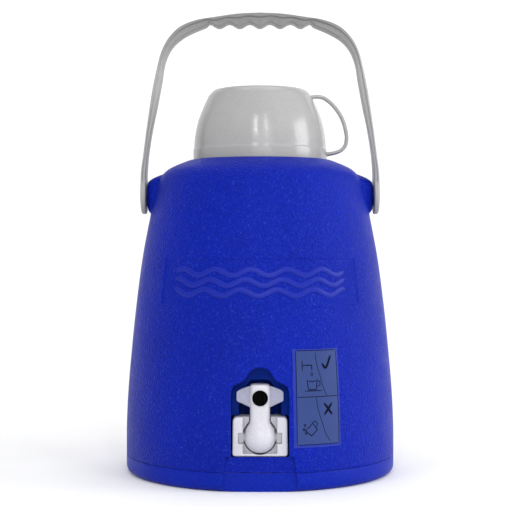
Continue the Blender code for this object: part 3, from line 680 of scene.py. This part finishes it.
def shell_hollow():
    inner = [(radius - SHELL_WALL, height) for radius, height in SIDE_CURVE if 16 < height < 276.5]
    outline = [(0, 290), (NECK_HOLE, 290), (NECK_HOLE, GROOVE_FLOOR - 2.6), (64.5, GROOVE_FLOOR - 2.6),
            *inner, (BODY_RADIUS - SHELL_WALL, BASE_FLOOR), (0, BASE_FLOOR)]
    hollow = revolve("hollow", outline, steps=96)
    wall = ALCOVE_SIDE + SHELL_WALL
    alcove_walls = slab("walls", rectangle(-wall, wall, ALCOVE_FOOT - SHELL_WALL, 106, 1), IN_FRONT,
            ALCOVE_BACK + SHELL_WALL, spacing=6)
    pad = slab("pad", rectangle(-34, 34, -9, 31.5, 1), IN_FRONT, CHANNEL_FACE + 3, spacing=6)
    cut(hollow, alcove_walls, pad, *[pivot_rod("boss", side, 12.5, 80, 120) for side in (1, -1)])
    return hollow


def outer_shell():
    groove = lathe((0, GROOVE_FLOOR, 0), (GROOVE_RADIUS, GROOVE_FLOOR, 1.2),
            (GROOVE_RADIUS + 0.6, 279.4, 1.4), (64.5, 278.9, 0))
    foot = [(BODY_RADIUS, 16.5), (BODY_RADIUS - 0.15, 16.2), (BODY_RADIUS - 0.5, SHELL_BOTTOM),
            (0, SHELL_BOTTOM)]
    shell = revolve("shell", [*groove[:-1], *SIDE_CURVE[:-1], *foot])
    join(shell, ear(1), ear(-1))
    cut(shell, channel_cutter())
    cut(shell, front_cutter("alcove", alcove_outline(), ALCOVE_STEP))
    tap_room = rectangle(-23.9, 23.9, 28.9, 61.9, 2.5)
    cut(shell, slab("tap_room", tap_room, ALCOVE_STEP - 3, ALCOVE_BACK, 0, 1))
    arch = smooth_curve(POCKET_ARCH, 1.2)
    pocket = [(-17.5, 57), (17.5, 57), *arch, *mirrored(arch[:-1])]
    cut(shell, slab("pocket", pocket, ALCOVE_STEP - 3.4, ALCOVE_BACK - 0.3, 0, 1.5))
    cut(shell, panel_cutter())
    cut(shell, shell_hollow())
    shank = rod_outline(SHANK_HOLE, -110, -80)
    cut(shell, revolve("tap_hole", shank, frame_of=along_y()))
    for side in (-1, 1):
        cut(shell, pivot_rod(f"insert_hole{side}", side, 8.6, 84.5, 120))
    piece(shell, BLUE, "jug", "blue_shell", "outer_shell")
    # Painted shade: the alcove's faces get the darker recess blue.
    paint(shell, BLUE_RECESS_SHADE, lambda p: abs(p.x) < ALCOVE_SIDE + 0.3 and ALCOVE_FOOT < p.z < 103 and
          -skin_radius(p.z) + 3.2 < p.y < ALCOVE_BACK + 1)


def turned_fill(name, outline):
    """Turns an outline round the foam filling hole's axis."""
    return revolve(name, outline, steps=FILL_STEPS, frame_of=Matrix.Translation((0, FILL_Y, 0)))


def fill_rod(radius, start, end):
    return turned_fill("fill_rod", rod_outline(radius, start, end))


def base_tray():
    spigot = BODY_RADIUS - SHELL_WALL - 0.3
    inside = spigot - SHELL_WALL
    corner = [(BODY_RADIUS - 6.5 * (1 - math.cos(turn)), 6.5 * (1 - math.sin(turn)))
            for turn in (QUARTER * step / 8 for step in range(9))]
    outline = [(inside, BASE_LIP), (spigot, BASE_LIP), (spigot, BASE_TOP), (BODY_RADIUS - 0.5, BASE_TOP),
            (BODY_RADIUS - 0.15, BASE_TOP - 0.1), (BODY_RADIUS, BASE_TOP - 0.4), *corner,
            (60, 0), (0, 0), (0, BASE_FLOOR), (inside - 3, BASE_FLOOR), (inside, BASE_FLOOR + 3)]
    base = revolve("base", outline, closed=True)
    pad = slab("pad", rectangle(-33, 33, 0.6, 15.5, 1), CHANNEL_FACE - 0.7, CHANNEL_FACE + 3)
    skin = 0.3
    inner = [(radius - skin, max(height, skin)) for radius, height in corner]
    rim = BASE_TOP - skin
    boolean(pad, revolve("inside", [(0, rim), (BODY_RADIUS - skin, rim), *inner, (0, skin)]), "INTERSECT")
    join(base, pad)
    notch = slab("notch", rectangle(-34.3, 34.3, BASE_TOP, 40, 0.5), IN_FRONT, CHANNEL_FACE + 3.3)
    cut(base, notch, channel_cutter())
    join(base, slab("seal", rectangle(-32.5, 32.5, 10, SHELL_BOTTOM - 0.05, 0.2), CHANNEL_FACE + 0.7,
            CHANNEL_FACE + 2.8))
    join(base, fill_rod(14, 1, 8))
    cut(base, fill_rod(11.3, -1, 2.6), fill_rod(8, 1, 12))
    piece(base, BLUE_BASE, "jug", "blue_base", "base_plate")


def fill_plug():
    outline = lathe((0, 0.9, 0), (6.2, 0.9, 0.3), (7, 0.3, 0.3), (11, 0.3, 0.6), (11, 2.3, 0.3),
            (7.7, 2.3, 0), (7.7, 8, 0.6), (0, 8, 0), steps=3)
    piece(turned_fill("fill_plug", outline), DARK_GREY, "jug", "dark_grey_plastic", "foam_fill_plug")


def skin_ridge(name, path, half_width, section):
    """A raised bar along a path of (angle, height) on the skin. Its section is (share of width, out)."""
    path = np.array(path, float)
    radius = skin_radius(float(path[:, 1].mean()))
    flat = np.stack([path[:, 0] * radius, path[:, 1]], axis=1)
    ahead = directions(flat)
    across = np.stack([-ahead[:, 1], ahead[:, 0]], axis=1)
    rings = []
    for index in range(len(flat)):
        from_end = min(index, len(flat) - 1 - index)
        width = half_width * math.sqrt(max(0.04, 1 - max(0, 1 - from_end / 5) ** 2))
        ring = []
        for share, out in section:
            x, z = flat[index] + across[index] * width * share
            ring.append(skin_point(x / radius, z, out))
        rings.append(ring)
    return loft(name, rings)


def panel_relief():
    """Three wavy bars in the name panel, in place of any lettering."""
    half = ((0.7, -0.12), (0.95, -0.5), (1, -1.2))
    section = (*mirrored(half), (0, -0.02), *half)
    reach = math.radians(41)
    waves, swing, lag, steps = 5, 2.6, 0.9, 180
    for row, height in enumerate((180.6, 172.2, 163.8)):
        path = []
        for step in range(steps + 1):
            share = step / steps
            angle = -reach + 2 * reach * share
            path.append((angle, height + swing * math.sin(share * waves * 2 * math.pi + row * lag)))
        bar = skin_ridge(f"panel_wave_{row + 1}", path, 2.3, section)
        piece(bar, BLUE_SMOOTH, "jug", "blue_shell")


def label():
    """A thin film with a border and two simple pictures: a cup under a tap, and a tipped cup."""
    radius = skin_radius((LABEL_LOW + LABEL_HIGH) / 2)
    middle = (LABEL_FROM + LABEL_TO) / 2
    angles = [LABEL_FROM - 2.9 / radius, *np.linspace(LABEL_FROM, LABEL_TO, 25), LABEL_TO + 1.7 / radius]
    heights = [LABEL_LOW - 2.4, *np.linspace(LABEL_LOW, LABEL_HIGH, 40), LABEL_HIGH + 1.2]
    film = skin_slab("label_film", angles, heights, lambda a, z: 0.05, lambda a, z: 0.3)
    piece(film, LABEL, "jug", "label_film", "instruction_label")
    paint(film, LABEL_MARGIN, lambda p: not (LABEL_LOW < p.z < LABEL_HIGH and
            LABEL_FROM < math.atan2(p.x, -p.y) < LABEL_TO))

    def stroke(name, points, width, step=0.8):
        """A printed line through points given across and up from the label's middle."""
        line = []
        for start, end in zip(points, points[1:]):
            count = max(1, round(math.dist(start, end) / step))
            line += [tuple(a + (b - a) * i / count for a, b in zip(start, end)) for i in range(count)]
        line.append(points[-1])
        path = [(middle + x / radius, z) for x, z in line]
        section = ((-1, 0.27), (-0.9, 0.36), (0.9, 0.36), (1, 0.27))
        piece(skin_ridge(f"label_{name}", path, width * 0.65, section), PRINT, "jug", "label_film")

    half = (LABEL_TO - LABEL_FROM) / 2 * radius
    top, foot, split = LABEL_HIGH, LABEL_LOW, 78
    borders = {"left": [(-half, foot), (-half, top)], "right": [(half, foot), (half, top)],
            "top": [(-half, top), (half, top)], "foot": [(-half, foot), (half, foot)]}
    for tag, points in borders.items():
        stroke(f"border_{tag}", points, 0.45)
    stroke("divider", [(-half, split), (half, split)], 0.5)
    stroke("tick", smooth_curve([(4.6, 105.4), (7.2, 101.6), (13.4, 111.6)], 0.7), 1.6)
    stroke("cross_a", [(5.2, 62.6), (12.9, 72.6)], 1.6)
    stroke("cross_b", [(5.2, 72.6), (12.9, 62.6)], 1.6)
    jug_sides = {"high": [(-1.4, 114.4), (-0.6, 106), (2.4, 95), (5.6, 84), (8.4, 78.2)],
            "low": [(-1.8, 77.4), (-0.4, 68), (3, 57), (7, 46), (10.8, 40.6)]}
    for tag, points in jug_sides.items():
        stroke(f"jug_side_{tag}", smooth_curve(points, 0.8), 0.4)
    circle = [(math.sin(i * math.pi / 12), math.cos(i * math.pi / 12)) for i in range(25)]
    cup = {"cup": [(-4.6, 9), (-3.6, 0), (3.6, 0), (4.6, 9)],
           "ring": [(4.2, 7.4), (7, 6.6), (7.2, 3.4), (4, 2.2)],
           "water": [(-4.2, 6.4), (-1.8, 7.1), (0.2, 6.2), (2.2, 7.1), (4.2, 6.4)]}
    for tag, (x, z, tilt) in {"upright": (-5, 84, 0), "tipped": (-4, 48.5, 0.75)}.items():
        turn = Matrix.Rotation(tilt, 2)
        for part, points in cup.items():
            turned = [turn @ Vector(point) for point in points]
            stroke(f"{part}_{tag}", [(x + p.x, z + p.y) for p in turned], 0.6)
    stroke("tap_body", [(-13.5, 104), (-5, 104), (-5, 99)], 0.7)
    stroke("tap_wall", [(-13.5, 99.5), (-13.5, 108.5)], 0.7)
    stroke("drop", [(-5 + 0.9 * c, 96.6 + 1.2 * s) for c, s in circle], 0.5, 0.3)
    stroke("table", [(-12, 82.9), (4, 82.9)], 0.6)
    for index, (x, z) in enumerate(((-12.2, 55), (-13, 51.5), (-11.4, 48.5))):
        stroke(f"splash_{index + 1}", [(x + 0.8 * c, z + 1 * s) for c, s in circle], 0.5, 0.3)


# ---- Neck, stopper and cup ----

def neck_pieces():
    collar = filleted(((50.4, 281, 0.4), (52.5, 281, 0.8), (57.3, 277.5, 0.8), (57.3, 273.3, 0.4),
            (55.6, 273.3, 0), (55.6, 262, 0.4), (50.4, 262, 0.3)))
    piece(revolve("collar", collar, closed=True), BLUE_BASE, "jug", "blue_base", "neck_collar")
    outside = [(50, 283, 0.5), (50, 257, 1.5), (60, 253, 2), (68, 247, 3), (74, 232, 8),
            (81, 199, 20), (86, 153, 20), (89, 63, 20), (89, 24, 5), (81, 18, 5),
            (0, 18, 0)]
    inside = [(0, 20, 0), (80, 20, 4), (87, 25, 4), (87, 63, 20), (84, 153, 20),
            (79, 199, 20), (72.2, 231.5, 8), (66.6, 245.6, 3), (59.2, 250.6, 2), (47, 254.5, 2),
            (47, 283, 0.5)]
    liner = revolve("liner", filleted([*outside, *inside]), closed=True, steps=96)
    face = ALCOVE_BACK + SHELL_WALL + 0.3
    flat = slab("flat", rectangle(-40, 40, 9, 112, 1), IN_FRONT, face + 2, spacing=6)
    wall = slab("wall", rectangle(-42, 42, 19, 114, 1), face, face + 2, spacing=6)
    body = [(0, 18.5), (80, 18.5), (86.5, 25), (88, 63), (85, 153), (0, 153)]
    boolean(wall, revolve("body", body, steps=96), "INTERSECT")
    cut(liner, flat)
    join(liner, wall)
    cut(liner, revolve("tap_hole", rod_outline(SHANK_HOLE, -110, -70), steps=48, frame_of=along_y()))
    piece(liner, LINER, "jug", "liner", "inner_liner")


def stopper():
    outline = lathe((0, 302.6, 0), (27, 302.6, 1), (29, 304, 1), (34, 304, 2.5), (41, 301.5, 2.5),
            (43.5, 297, 2), (43.5, 289.4, 1), (51.5, 289, 0.9), (51.5, 285.8, 0.7),
            (46.2, 285.8, 0.3), (46.2, 245.2, 0.6), (44, 245.2, 0.3), (44, 284, 1),
            (41, 295, 2), (38, 299, 1), (0, 301.2, 0))
    body = revolve("stopper", outline)
    grip = []
    for height, grow in ((301.9, 2.6), (302.7, 1.2), (304, 0.35), (306.5, 0), (313, -0.5), (316.6, -0.7),
            (318.6, -1.5), (319.7, -2.9), (320, -4.4)):
        ring = []
        for turn in turns(80):
            across = squared(math.cos(turn), 0.42)
            along = squared(math.sin(turn), 0.62)
            waist = 1 - 0.24 * math.cos(across * QUARTER) ** 2
            ring.append(((33 + grow) * across, (6 + grow) * along * waist, height))
        grip.append(ring)
    join(body, loft("grip", grip))
    for side in (-1, 1):
        for index in range(3):
            x = side * (10 + 6 * index)
            rib = [[(x + 0.9 * math.sin(t), y, 304.5 + 6 + 4.6 * math.cos(t)) for t in turns(24)]
                   for y in (-6.15, 6.15)]
            join(body, loft("rib", rib))
    piece(body, WHITE, "stopper", "white_plastic", "stopper_body")
    disc = lathe((0, 248.2, 0), (43.7, 248.2, 0.3), (43.7, 245.2, 0.3), (36, 245.2, 0.4), (35, 246.2, 0.4),
            (0, 246.2, 0))
    piece(revolve("stopper_disc", disc, steps=96), WHITE, "stopper", "white_plastic", "stopper_bottom_disc")
    seal = [(48.6 + 1.2 * math.sin(t), 284.4 + 1.05 * math.cos(t)) for t in turns(16)]
    piece(revolve("stopper_seal", seal, closed=True), RUBBER, "stopper", "seal_rubber", "stopper_gasket")


def drinking_cup():
    side = smooth_curve(((42.4, 341.9), (45.7, 338.4), (48.5, 333.1), (51.2, 327.2), (55.3, 316.8),
            (58, 306), (59.3, 297), (59.8, 290.2)), 1.6)
    rim = [(60, 289.6), (60.35, 288.9), (60.4, 288), (60.4, 274.6), (60.2, 273.9), (59.6, 273.6),
           (58.8, 273.8), (58.4, 274.6)]
    inner = [(radius - 2, height - 0.6) for radius, height in side[::-1] if height < 338]
    top = lathe((0, 341.8, 0), (33, 341.8, 0.8), (34.2, 343, 0.8), (39.4, 343, 1.5), (42.4, 341.9, 0))
    cup = revolve("cup", [*top[:-1], *side, *rim, *inner, (43.6, 337.6), (40.5, 339.3), (0, 339.3)])
    path = smooth_curve(((43.5, 335.2), (48, 336.6), (52.4, 337), (58, 335.6), (63.6, 331.6),
            (69.4, 325.2), (74, 317.6), (77.2, 308), (78.4, 299.6), (77.2, 293),
            (73.6, 288.6), (68.5, 286.4), (63, 285.3), (59, 284.8)), 1.5)
    rings = []
    for index, ((x, z), (dx, dz)) in enumerate(zip(path, directions(path))):
        near_end = max(0, 1 - min(index, len(path) - 1 - index) / 5)
        width = 4.4 + 1.6 * near_end**2
        thick = 1.75 + 0.7 * near_end**2
        ring = []
        for turn in turns(20):
            across = squared(math.cos(turn), 0.7) * width
            out = squared(math.sin(turn), 0.8) * thick
            ring.append((x + dz * out, across, z - dx * out))
        rings.append(ring)
    join(cup, loft("loop", rings))
    piece(cup, GREY, "cup", "grey_plastic", "drinking_cup")


# ---- Handle ----

HANDLE_OUTSIDE = ((107.1, 249), (106.9, 268), (104.9, 284), (102.4, 305), (99.3, 326.5),
        (95.7, 348), (92.2, 364), (89.3, 375), (83.6, 387), (78.5, 393.4), (73, 398.3),
        (66.5, 401.9), (56.5, 405.3), (40, 408), (20, 410.8), (0, 411.8))
HANDLE_INSIDE = ((102.8, 249), (102.7, 268), (101.2, 285), (97.6, 307), (93, 329), (88.9, 351),
        (85.8, 368.5), (81.8, 378.2), (76.4, 385.2), (69.6, 390.6), (60.6, 395.4), (50, 399.8))
BUMP_TIP = 399.4
BUMP_DEPTH = 3.8
BUMP_PITCH = 18.4
STRAP_HALF_WIDTH = 10.9
FLARE_HEIGHT = 62
STATIONS = 260


def bump_height(x):
    return BUMP_TIP + BUMP_DEPTH * (1 - math.cos(2 * math.pi * x / BUMP_PITCH)) / 2


def handle_sections():
    """Pairs of outer and inner points from the right eye to the middle of the grip."""
    outside = smooth_curve(HANDLE_OUTSIDE, 1)
    grip = [(x, bump_height(x)) for x in np.arange(46, -0.1, -1.15)]
    blend = smooth_curve([HANDLE_INSIDE[-1], (48.2, 400.6), grip[0]], 1)
    inside = np.vstack([smooth_curve(HANDLE_INSIDE, 1)[:-1], blend[:-1], grip])
    pairs = []
    lengths = [distances(curve) for curve in (outside, inside)]
    for step in range(STATIONS + 1):
        share = step / STATIONS
        ends = []
        for curve, along in zip((outside, inside), lengths):
            place = np.interp(share * along[-1], along, np.arange(len(curve)))
            ends.append(np.array([np.interp(place, np.arange(len(curve)), column) for column in curve.T]))
        pairs.append(ends)
    return pairs


def bail_handle():
    """A strap with a raised rim round its outer edge, finger bumps under the grip, and round eyes."""
    half = handle_sections()
    flip = np.array((-1, 1))
    stations = [*half, *[[flip * outer, flip * inner] for outer, inner in reversed(half[:-1])]]
    rings = []
    for outer, inner in stations:
        span = outer - inner
        thick = float(np.linalg.norm(span))
        flare = max(0, PIVOT_Z + FLARE_HEIGHT - outer[1]) / FLARE_HEIGHT
        width = STRAP_HALF_WIDTH * (1 + 0.5 * flare)
        rim = max(1.3, 0.3 * thick) / thick
        dip = min(1.5, 0.3 * thick)
        soft = min(0.9, 0.22 * thick) / thick
        side = ((1, width - 1.2), (1 - 0.3 * soft, width - 0.5), (1 - soft, width), (1 - rim, width),
                (1 - rim - 0.25 * soft, width - 0.2 * dip), (1 - rim - 0.8 * soft, width - dip),
                (soft, width - dip), (0.3 * soft, width - dip - 0.4), (0, width - dip - 1.2))
        ring = [(*(inner + span * share), y) for share, y in side]
        ring += [(*(inner + span * share), -y) for share, y in reversed(side)]
        rings.append([(x, y, z) for x, z, y in ring])
    handle = loft("handle", rings)
    for side in (-1, 1):
        eye = lathe((0, EYE_INNER, 0), (EYE_RADIUS, EYE_INNER, 1.2), (EYE_RADIUS, EYE_OUTER, 3.2),
                (12.8, EYE_OUTER, 0.6), (11.8, EYE_OUTER - 0.8, 0.6), (0, EYE_OUTER - 0.8, 0))
        join(handle, revolve("eye", eye, frame_of=along_x(side)))
    bore = [(0, 95), (5.5, 95), (5.5, 104.6), (9.8, 104.6), (9.8, 115), (0, 115)]
    for side in (-1, 1):
        cut(handle, revolve("hole", bore, frame_of=along_x(side)))
    piece(handle, HANDLE_GREY, "handle", "grey_plastic", "bail_handle")


def pivots():
    for side, word in ((-1, "left"), (1, "right")):
        head = lathe((0, 87.3, 0), (4.4, 87.3, 0.3), (5, 88, 0.3), (5, 104.9, 0.2), (9.5, 104.9, 0.4),
                (9.5, 106.4, 0.7), (7.6, 107.1, 0.8), (3.2, 107.1, 0.3), (2.8, 106.3, 0.3), (0, 106.3, 0))
        pin = revolve(f"pin_{word}", head, frame_of=along_x(side))
        piece(pin, HANDLE_GREY, "jug", "grey_plastic", f"pivot_pin_{word}")


# ---- Tap ----

def along_trunnions():
    """Turns round the spout's pivot axis."""
    return Matrix.Translation((0, TAP_Y, TAP_Z)) @ Matrix.Rotation(QUARTER, 4, "Y")


def ball():
    half = [math.pi * step / 36 for step in range(1, 36)]
    outline = [(0, BALL), *[(BALL * math.sin(t), BALL * math.cos(t)) for t in half], (0, -BALL)]
    return revolve("spout", outline, frame_of=along_trunnions())


def socket():
    """The round room for the ball, open to the front, with the seat's room and the waterway behind it."""
    quarter = [QUARTER * step / 18 for step in range(19)]
    bowl = [(BALL_ROOM * math.cos(t), TAP_Y + BALL_ROOM * math.sin(t)) for t in quarter if math.cos(t) > 0.6]
    outline = [(0, BEYOND_TAP), (BALL_ROOM, BEYOND_TAP), *bowl, (7.8, TAP_Y + 11.38), (7.8, -90.6),
            (5, -90.6), (5, -67), (0, -67)]
    return revolve("socket", outline, frame_of=along_y())


def tap_housing():
    face = filleted(((-23, 29, 2.8), (23, 29, 2.8), (22.5, 61.4, 4), (-22.5, 61.4, 4)))
    housing = slab("housing", face, -113.5, -91.3, 1.3, 0.6, spacing=0.8)
    shank = revolve("shank", rod_outline(10.5, -93, -72), frame_of=along_y())
    join(housing, shank)
    window = filleted(((-14.3, 31.2, 1.2), (14.3, 31.2, 1.2), (14.3, 75, 0), (-14.3, 75, 0)))
    window = slab("window", window, BEYOND_TAP, WINDOW_FLOOR, 0, 0.5, spacing=0.8)
    half = ((14.2, 49, 0), (13.7, 51, 0.8), (10.3, 56.2, 0.8), (8.6, 57.8, 0.8), (8.6, 75, 0))
    v_outline = filleted((*half, *[(-x, z, r) for x, z, r in reversed(half)]))
    v_slot = slab("v_slot", v_outline, BEYOND_TAP, -100, spacing=0.5)
    back_slot = slab("back_slot", rectangle(-8.9, 8.9, TAP_Z, 75, 0.5), BEYOND_TAP, TAP_Y + 9.1)
    trunnions = slab("trunnion_slot", rectangle(-18.1, 18.1, 39.6, 48.6, 0.4), BEYOND_TAP, TAP_Y + 4.5)
    cut(housing, window, v_slot, back_slot, trunnions, socket())
    piece(housing, WHITE, "jug", "white_plastic", "tap_housing", weighted=True)
    # The window floor gets the grained copy of the white, darkened as painted shade.
    paint(housing, GRAINED_AND_SHADED, lambda p: abs(p.x) < 14.35 and abs(p.y - WINDOW_FLOOR) < 0.3)
    for side, word in ((-1, "left"), (1, "right")):
        low, high = sorted((side * BALL_ROOM, side * 17.95))
        face = rectangle(low, high, 40, 48.5, 0.5)
        keeper = slab(f"keeper_{word}", face, -112.9, -110.95, 0.4, 0, spacing=0.5)
        # The keepers are coloured darker than the housing as painted shade.
        piece(keeper, KEEPER_SHADE, "jug", "grey_plastic", f"trunnion_keeper_{word}")


def neck_ring(height, across, front, back, square):
    """One level of the spout's neck: flatter in front than behind."""
    ring = []
    for turn in turns(72):
        power = 2 / square if math.cos(turn) > 0 else 1
        x = across * squared(math.sin(turn), power)
        y = squared(math.cos(turn), power)
        ring.append((x, TAP_Y - y * (front if y > 0 else back), height))
    return ring


def wing(side):
    """A finger wing: hollowed in front beside the neck, with a raised rim, and shorter towards its tip."""
    rings = []
    for x, low, high, front, dish in ((5.5, 68.9, 87.2, -110, 0), (8.3, 69, 86.9, -110, 0.3),
            (9.5, 69.6, 86.6, -110.3, 1.3), (12.5, 71.2, 85.7, -111.1, 2.3),
            (15.5, 72.7, 84.6, -111.9, 2.2), (17.6, 73.7, 83.6, -112.3, 1.4),
            (18.7, 74.3, 82.8, -112.3, 0.4), (19.35, 75.3, 81.8, -111.6, 0.1)):
        middle = (low + high) / 2
        tall = (high - low) / 2
        back = -108.2 if x < 19 else -109
        dip = dish / abs(front - back)
        section = ((1, 0.5), (0.97, 0.85), (0.9, 1), (0.8, 1 - dip * 0.1), (0.45, 1 - dip * 0.75),
                (0, 1 - dip), (-0.45, 1 - dip * 0.9), (-0.8, 1 - dip * 0.3), (-0.9, 1),
                (-0.97, 0.85), (-1, 0.5), (-0.97, 0.15), (-0.88, 0), (0.88, 0), (0.97, 0.15))
        rings.append([(side * x, back + (front - back) * out, middle + tall * up) for up, out in section])
    return loft(f"wing{side}", rings)


def tap_spout():
    """The ball with its trunnions, the neck that flares into it, the wings and the round outlet."""
    spout = ball()
    rings = []
    for height, across, front, back, square in ((TAP_Z, 10, 10, 8.4, 2), (48, 12.5, 12.6, 8.4, 2),
            (50.3, 12.3, 12, 8.4, 2.1), (52.4, 11.3, 10.9, 8.4, 2.2),
            (54.2, 10, 9.7, 8.3, 2.4), (55.8, 9, 8.9, 8.3, 2.6),
            (57.2, 8.5, 8.45, 8.3, 2.8), (59, 8.3, 8.3, 8.3, 3.2),
            (62, 8.3, 8.3, 8.3, 3.4), (74, 8.3, 8.3, 8.3, 3.6),
            (85.6, 8.3, 8.3, 8.3, 3.6), (86.8, 8.2, 8.2, 8.2, 3.4),
            (87.6, 7.85, 7.85, 7.85, 3.2), (88.1, 7.2, 7.2, 7.2, 3),
            (88.3, 6.2, 6.2, 6.2, 2.8)):
        rings.append(neck_ring(height, across, front, back, square))
    neck = loft("neck", rings)
    pins = revolve("pins", lathe((0, -17.5, 0), (4.1, -17.5, 0.4), (4.1, 17.5, 0.4), (0, 17.5, 0)),
            steps=48, frame_of=along_trunnions())
    join(spout, neck, pins, wing(1), wing(-1))
    at_outlet = Matrix.Translation((0, 0, OUTLET_Z)) @ Matrix.Rotation(-QUARTER, 4, "X")
    collar = filleted(((5, -110, 0), (5, -115.3, 0), (6.2, -115.3, 0.3), (7.2, -115.1, 0.5),
            (7.6, -114.2, 0.3), (7.6, -110, 0)))
    join(spout, revolve("outlet_rim", collar, closed=True, frame_of=at_outlet))
    bore = revolve("bore", [(0, 24), (4.3, 24), (4.3, 79), (3, 81), (0, 81.5)], steps=48,
            frame_of=Matrix.Translation((0, TAP_Y, 0)))
    hole = lathe((0, BEYOND_TAP, 0), (7.7, BEYOND_TAP, 0), (7.7, -115.9, 0), (6.5, -114.7, 1.5),
            (6.5, TAP_Y + 3, 1), (0, TAP_Y + 3.5, 0))
    cut(spout, bore, revolve("outlet", hole, frame_of=at_outlet))
    piece(spout, WHITE, "spout", "white_plastic", "tap_spout", weighted=True)
    # Painted shade: the wings get the darker copy of the white.
    paint(spout, WING_SHADE, lambda p: abs(p.x) > 8.4 and p.z > 66)
    # Painted shade: the outlet's inside and the bore are coloured near black.
    paint(spout, BORE_SHADE, lambda p: math.hypot(p.x, p.z - OUTLET_Z) < 6.7 and -114.2 < p.y < TAP_Y + 4.5
          or math.hypot(p.x, p.y - TAP_Y) < 4.5 and p.z < 82)


# ---- Nodes kept from the CAD model ----

def dress_kept_nodes():
    kept = {
        "foam_insulation": FOAM, "neck_gasket": RUBBER, "pivot_insert_left": DARK_GREY,
        "pivot_insert_right": DARK_GREY, "tap_outer_gasket": RUBBER, "tap_inner_gasket": RUBBER,
        "tap_lock_nut": WHITE, "valve_seat_ring": RUBBER, "stopper_core_foam": FOAM,
    }
    for name, material in kept.items():
        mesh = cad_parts[name].data
        mesh.materials.clear()
        mesh.materials.append(material)


# ---- Studio ----

def studio():
    """A pale sweep for a floor and backdrop, soft area lights, and the camera."""
    profile = [(-2.6, 0.0), (0.6, 0.0)]
    for step in range(1, 17):
        turn = QUARTER * step / 16
        profile.append((0.6 + 0.9 * math.sin(turn), 0.9 * (1 - math.cos(turn))))
    profile.append((1.5, 3.4))
    points = [(x / MM, y / MM, z / MM) for y, z in profile for x in (-4.0, 4.0)]
    faces = [(2 * i, 2 * i + 1, 2 * i + 3, 2 * i + 2) for i in range(len(profile) - 1)]
    sweep = mesh_object("studio_sweep", points, faces)
    sweep.data.shade_smooth()
    nodes = Nodes("studio_paper")
    cloudy = nodes.ramp(nodes.noise(3.0), 0.0, 1.0, 0.4, 0.6)
    nodes.out("Base Color", nodes.mix(cloudy, (0.86, 0.86, 0.86), (0.9, 0.9, 0.9)))
    nodes.out("Roughness", nodes.ramp(nodes.noise(30.0), 0.75, 0.9))
    sweep.data.materials.append(nodes.material)

    lamps = (
        ("key", (1.75, -0.35, 0.7), (0.9, 0.9), 14.0),
        ("left", (-1.25, -1.35, 1.5), (0.8, 0.8), 8.0),
        ("right", (1.25, -1.35, 1.5), (0.8, 0.8), 9.0),
        ("strip_left", (-0.3, -2.1, 1.4), (0.07, 0.8), 6.5),
        ("strip_right", (0.42, -2.05, 1.4), (0.07, 0.8), 4.5),
        ("top", (0.0, 0.5, 2.0), (1.4, 1.4), 9.0),
        ("front", (0.2, -2.4, 0.7), (1.4, 1.0), 8.0),
    )
    for name, place, (wide, tall), power in lamps:
        lamp = bpy.data.lights.new(name, "AREA")
        lamp.shape = "RECTANGLE"
        lamp.size = wide
        lamp.size_y = tall
        lamp.energy = power
        holder = new_object(name, lamp)
        holder.location = place
        holder.visible_glossy = name not in ("left", "right")
        holder.rotation_euler = (Vector((0, 0, 0.2)) - Vector(place)).to_track_quat("-Z", "Y").to_euler()
    world = bpy.data.worlds.new("studio")
    world.use_nodes = True
    background = world.node_tree.nodes["Background"]
    background.inputs["Color"].default_value = (1.0, 1.0, 1.0, 1.0)
    background.inputs["Strength"].default_value = 0.62
    bpy.context.scene.world = world
    bpy.context.scene.view_settings.view_transform = "Standard"

    camera = new_object("camera", bpy.data.cameras.new("camera"))
    camera.data.lens = 94.1
    camera.location = (0.0, -1.2, 0.2073)
    camera.rotation_euler = (math.radians(89.437), 0.0, math.radians(0.303))
    bpy.context.scene.camera = camera


studio()
outer_shell()
base_tray()
fill_plug()
panel_relief()
label()
neck_pieces()
stopper()
drinking_cup()
bail_handle()
pivots()
tap_housing()
tap_spout()
dress_kept_nodes()

bpy.context.view_layer.update()
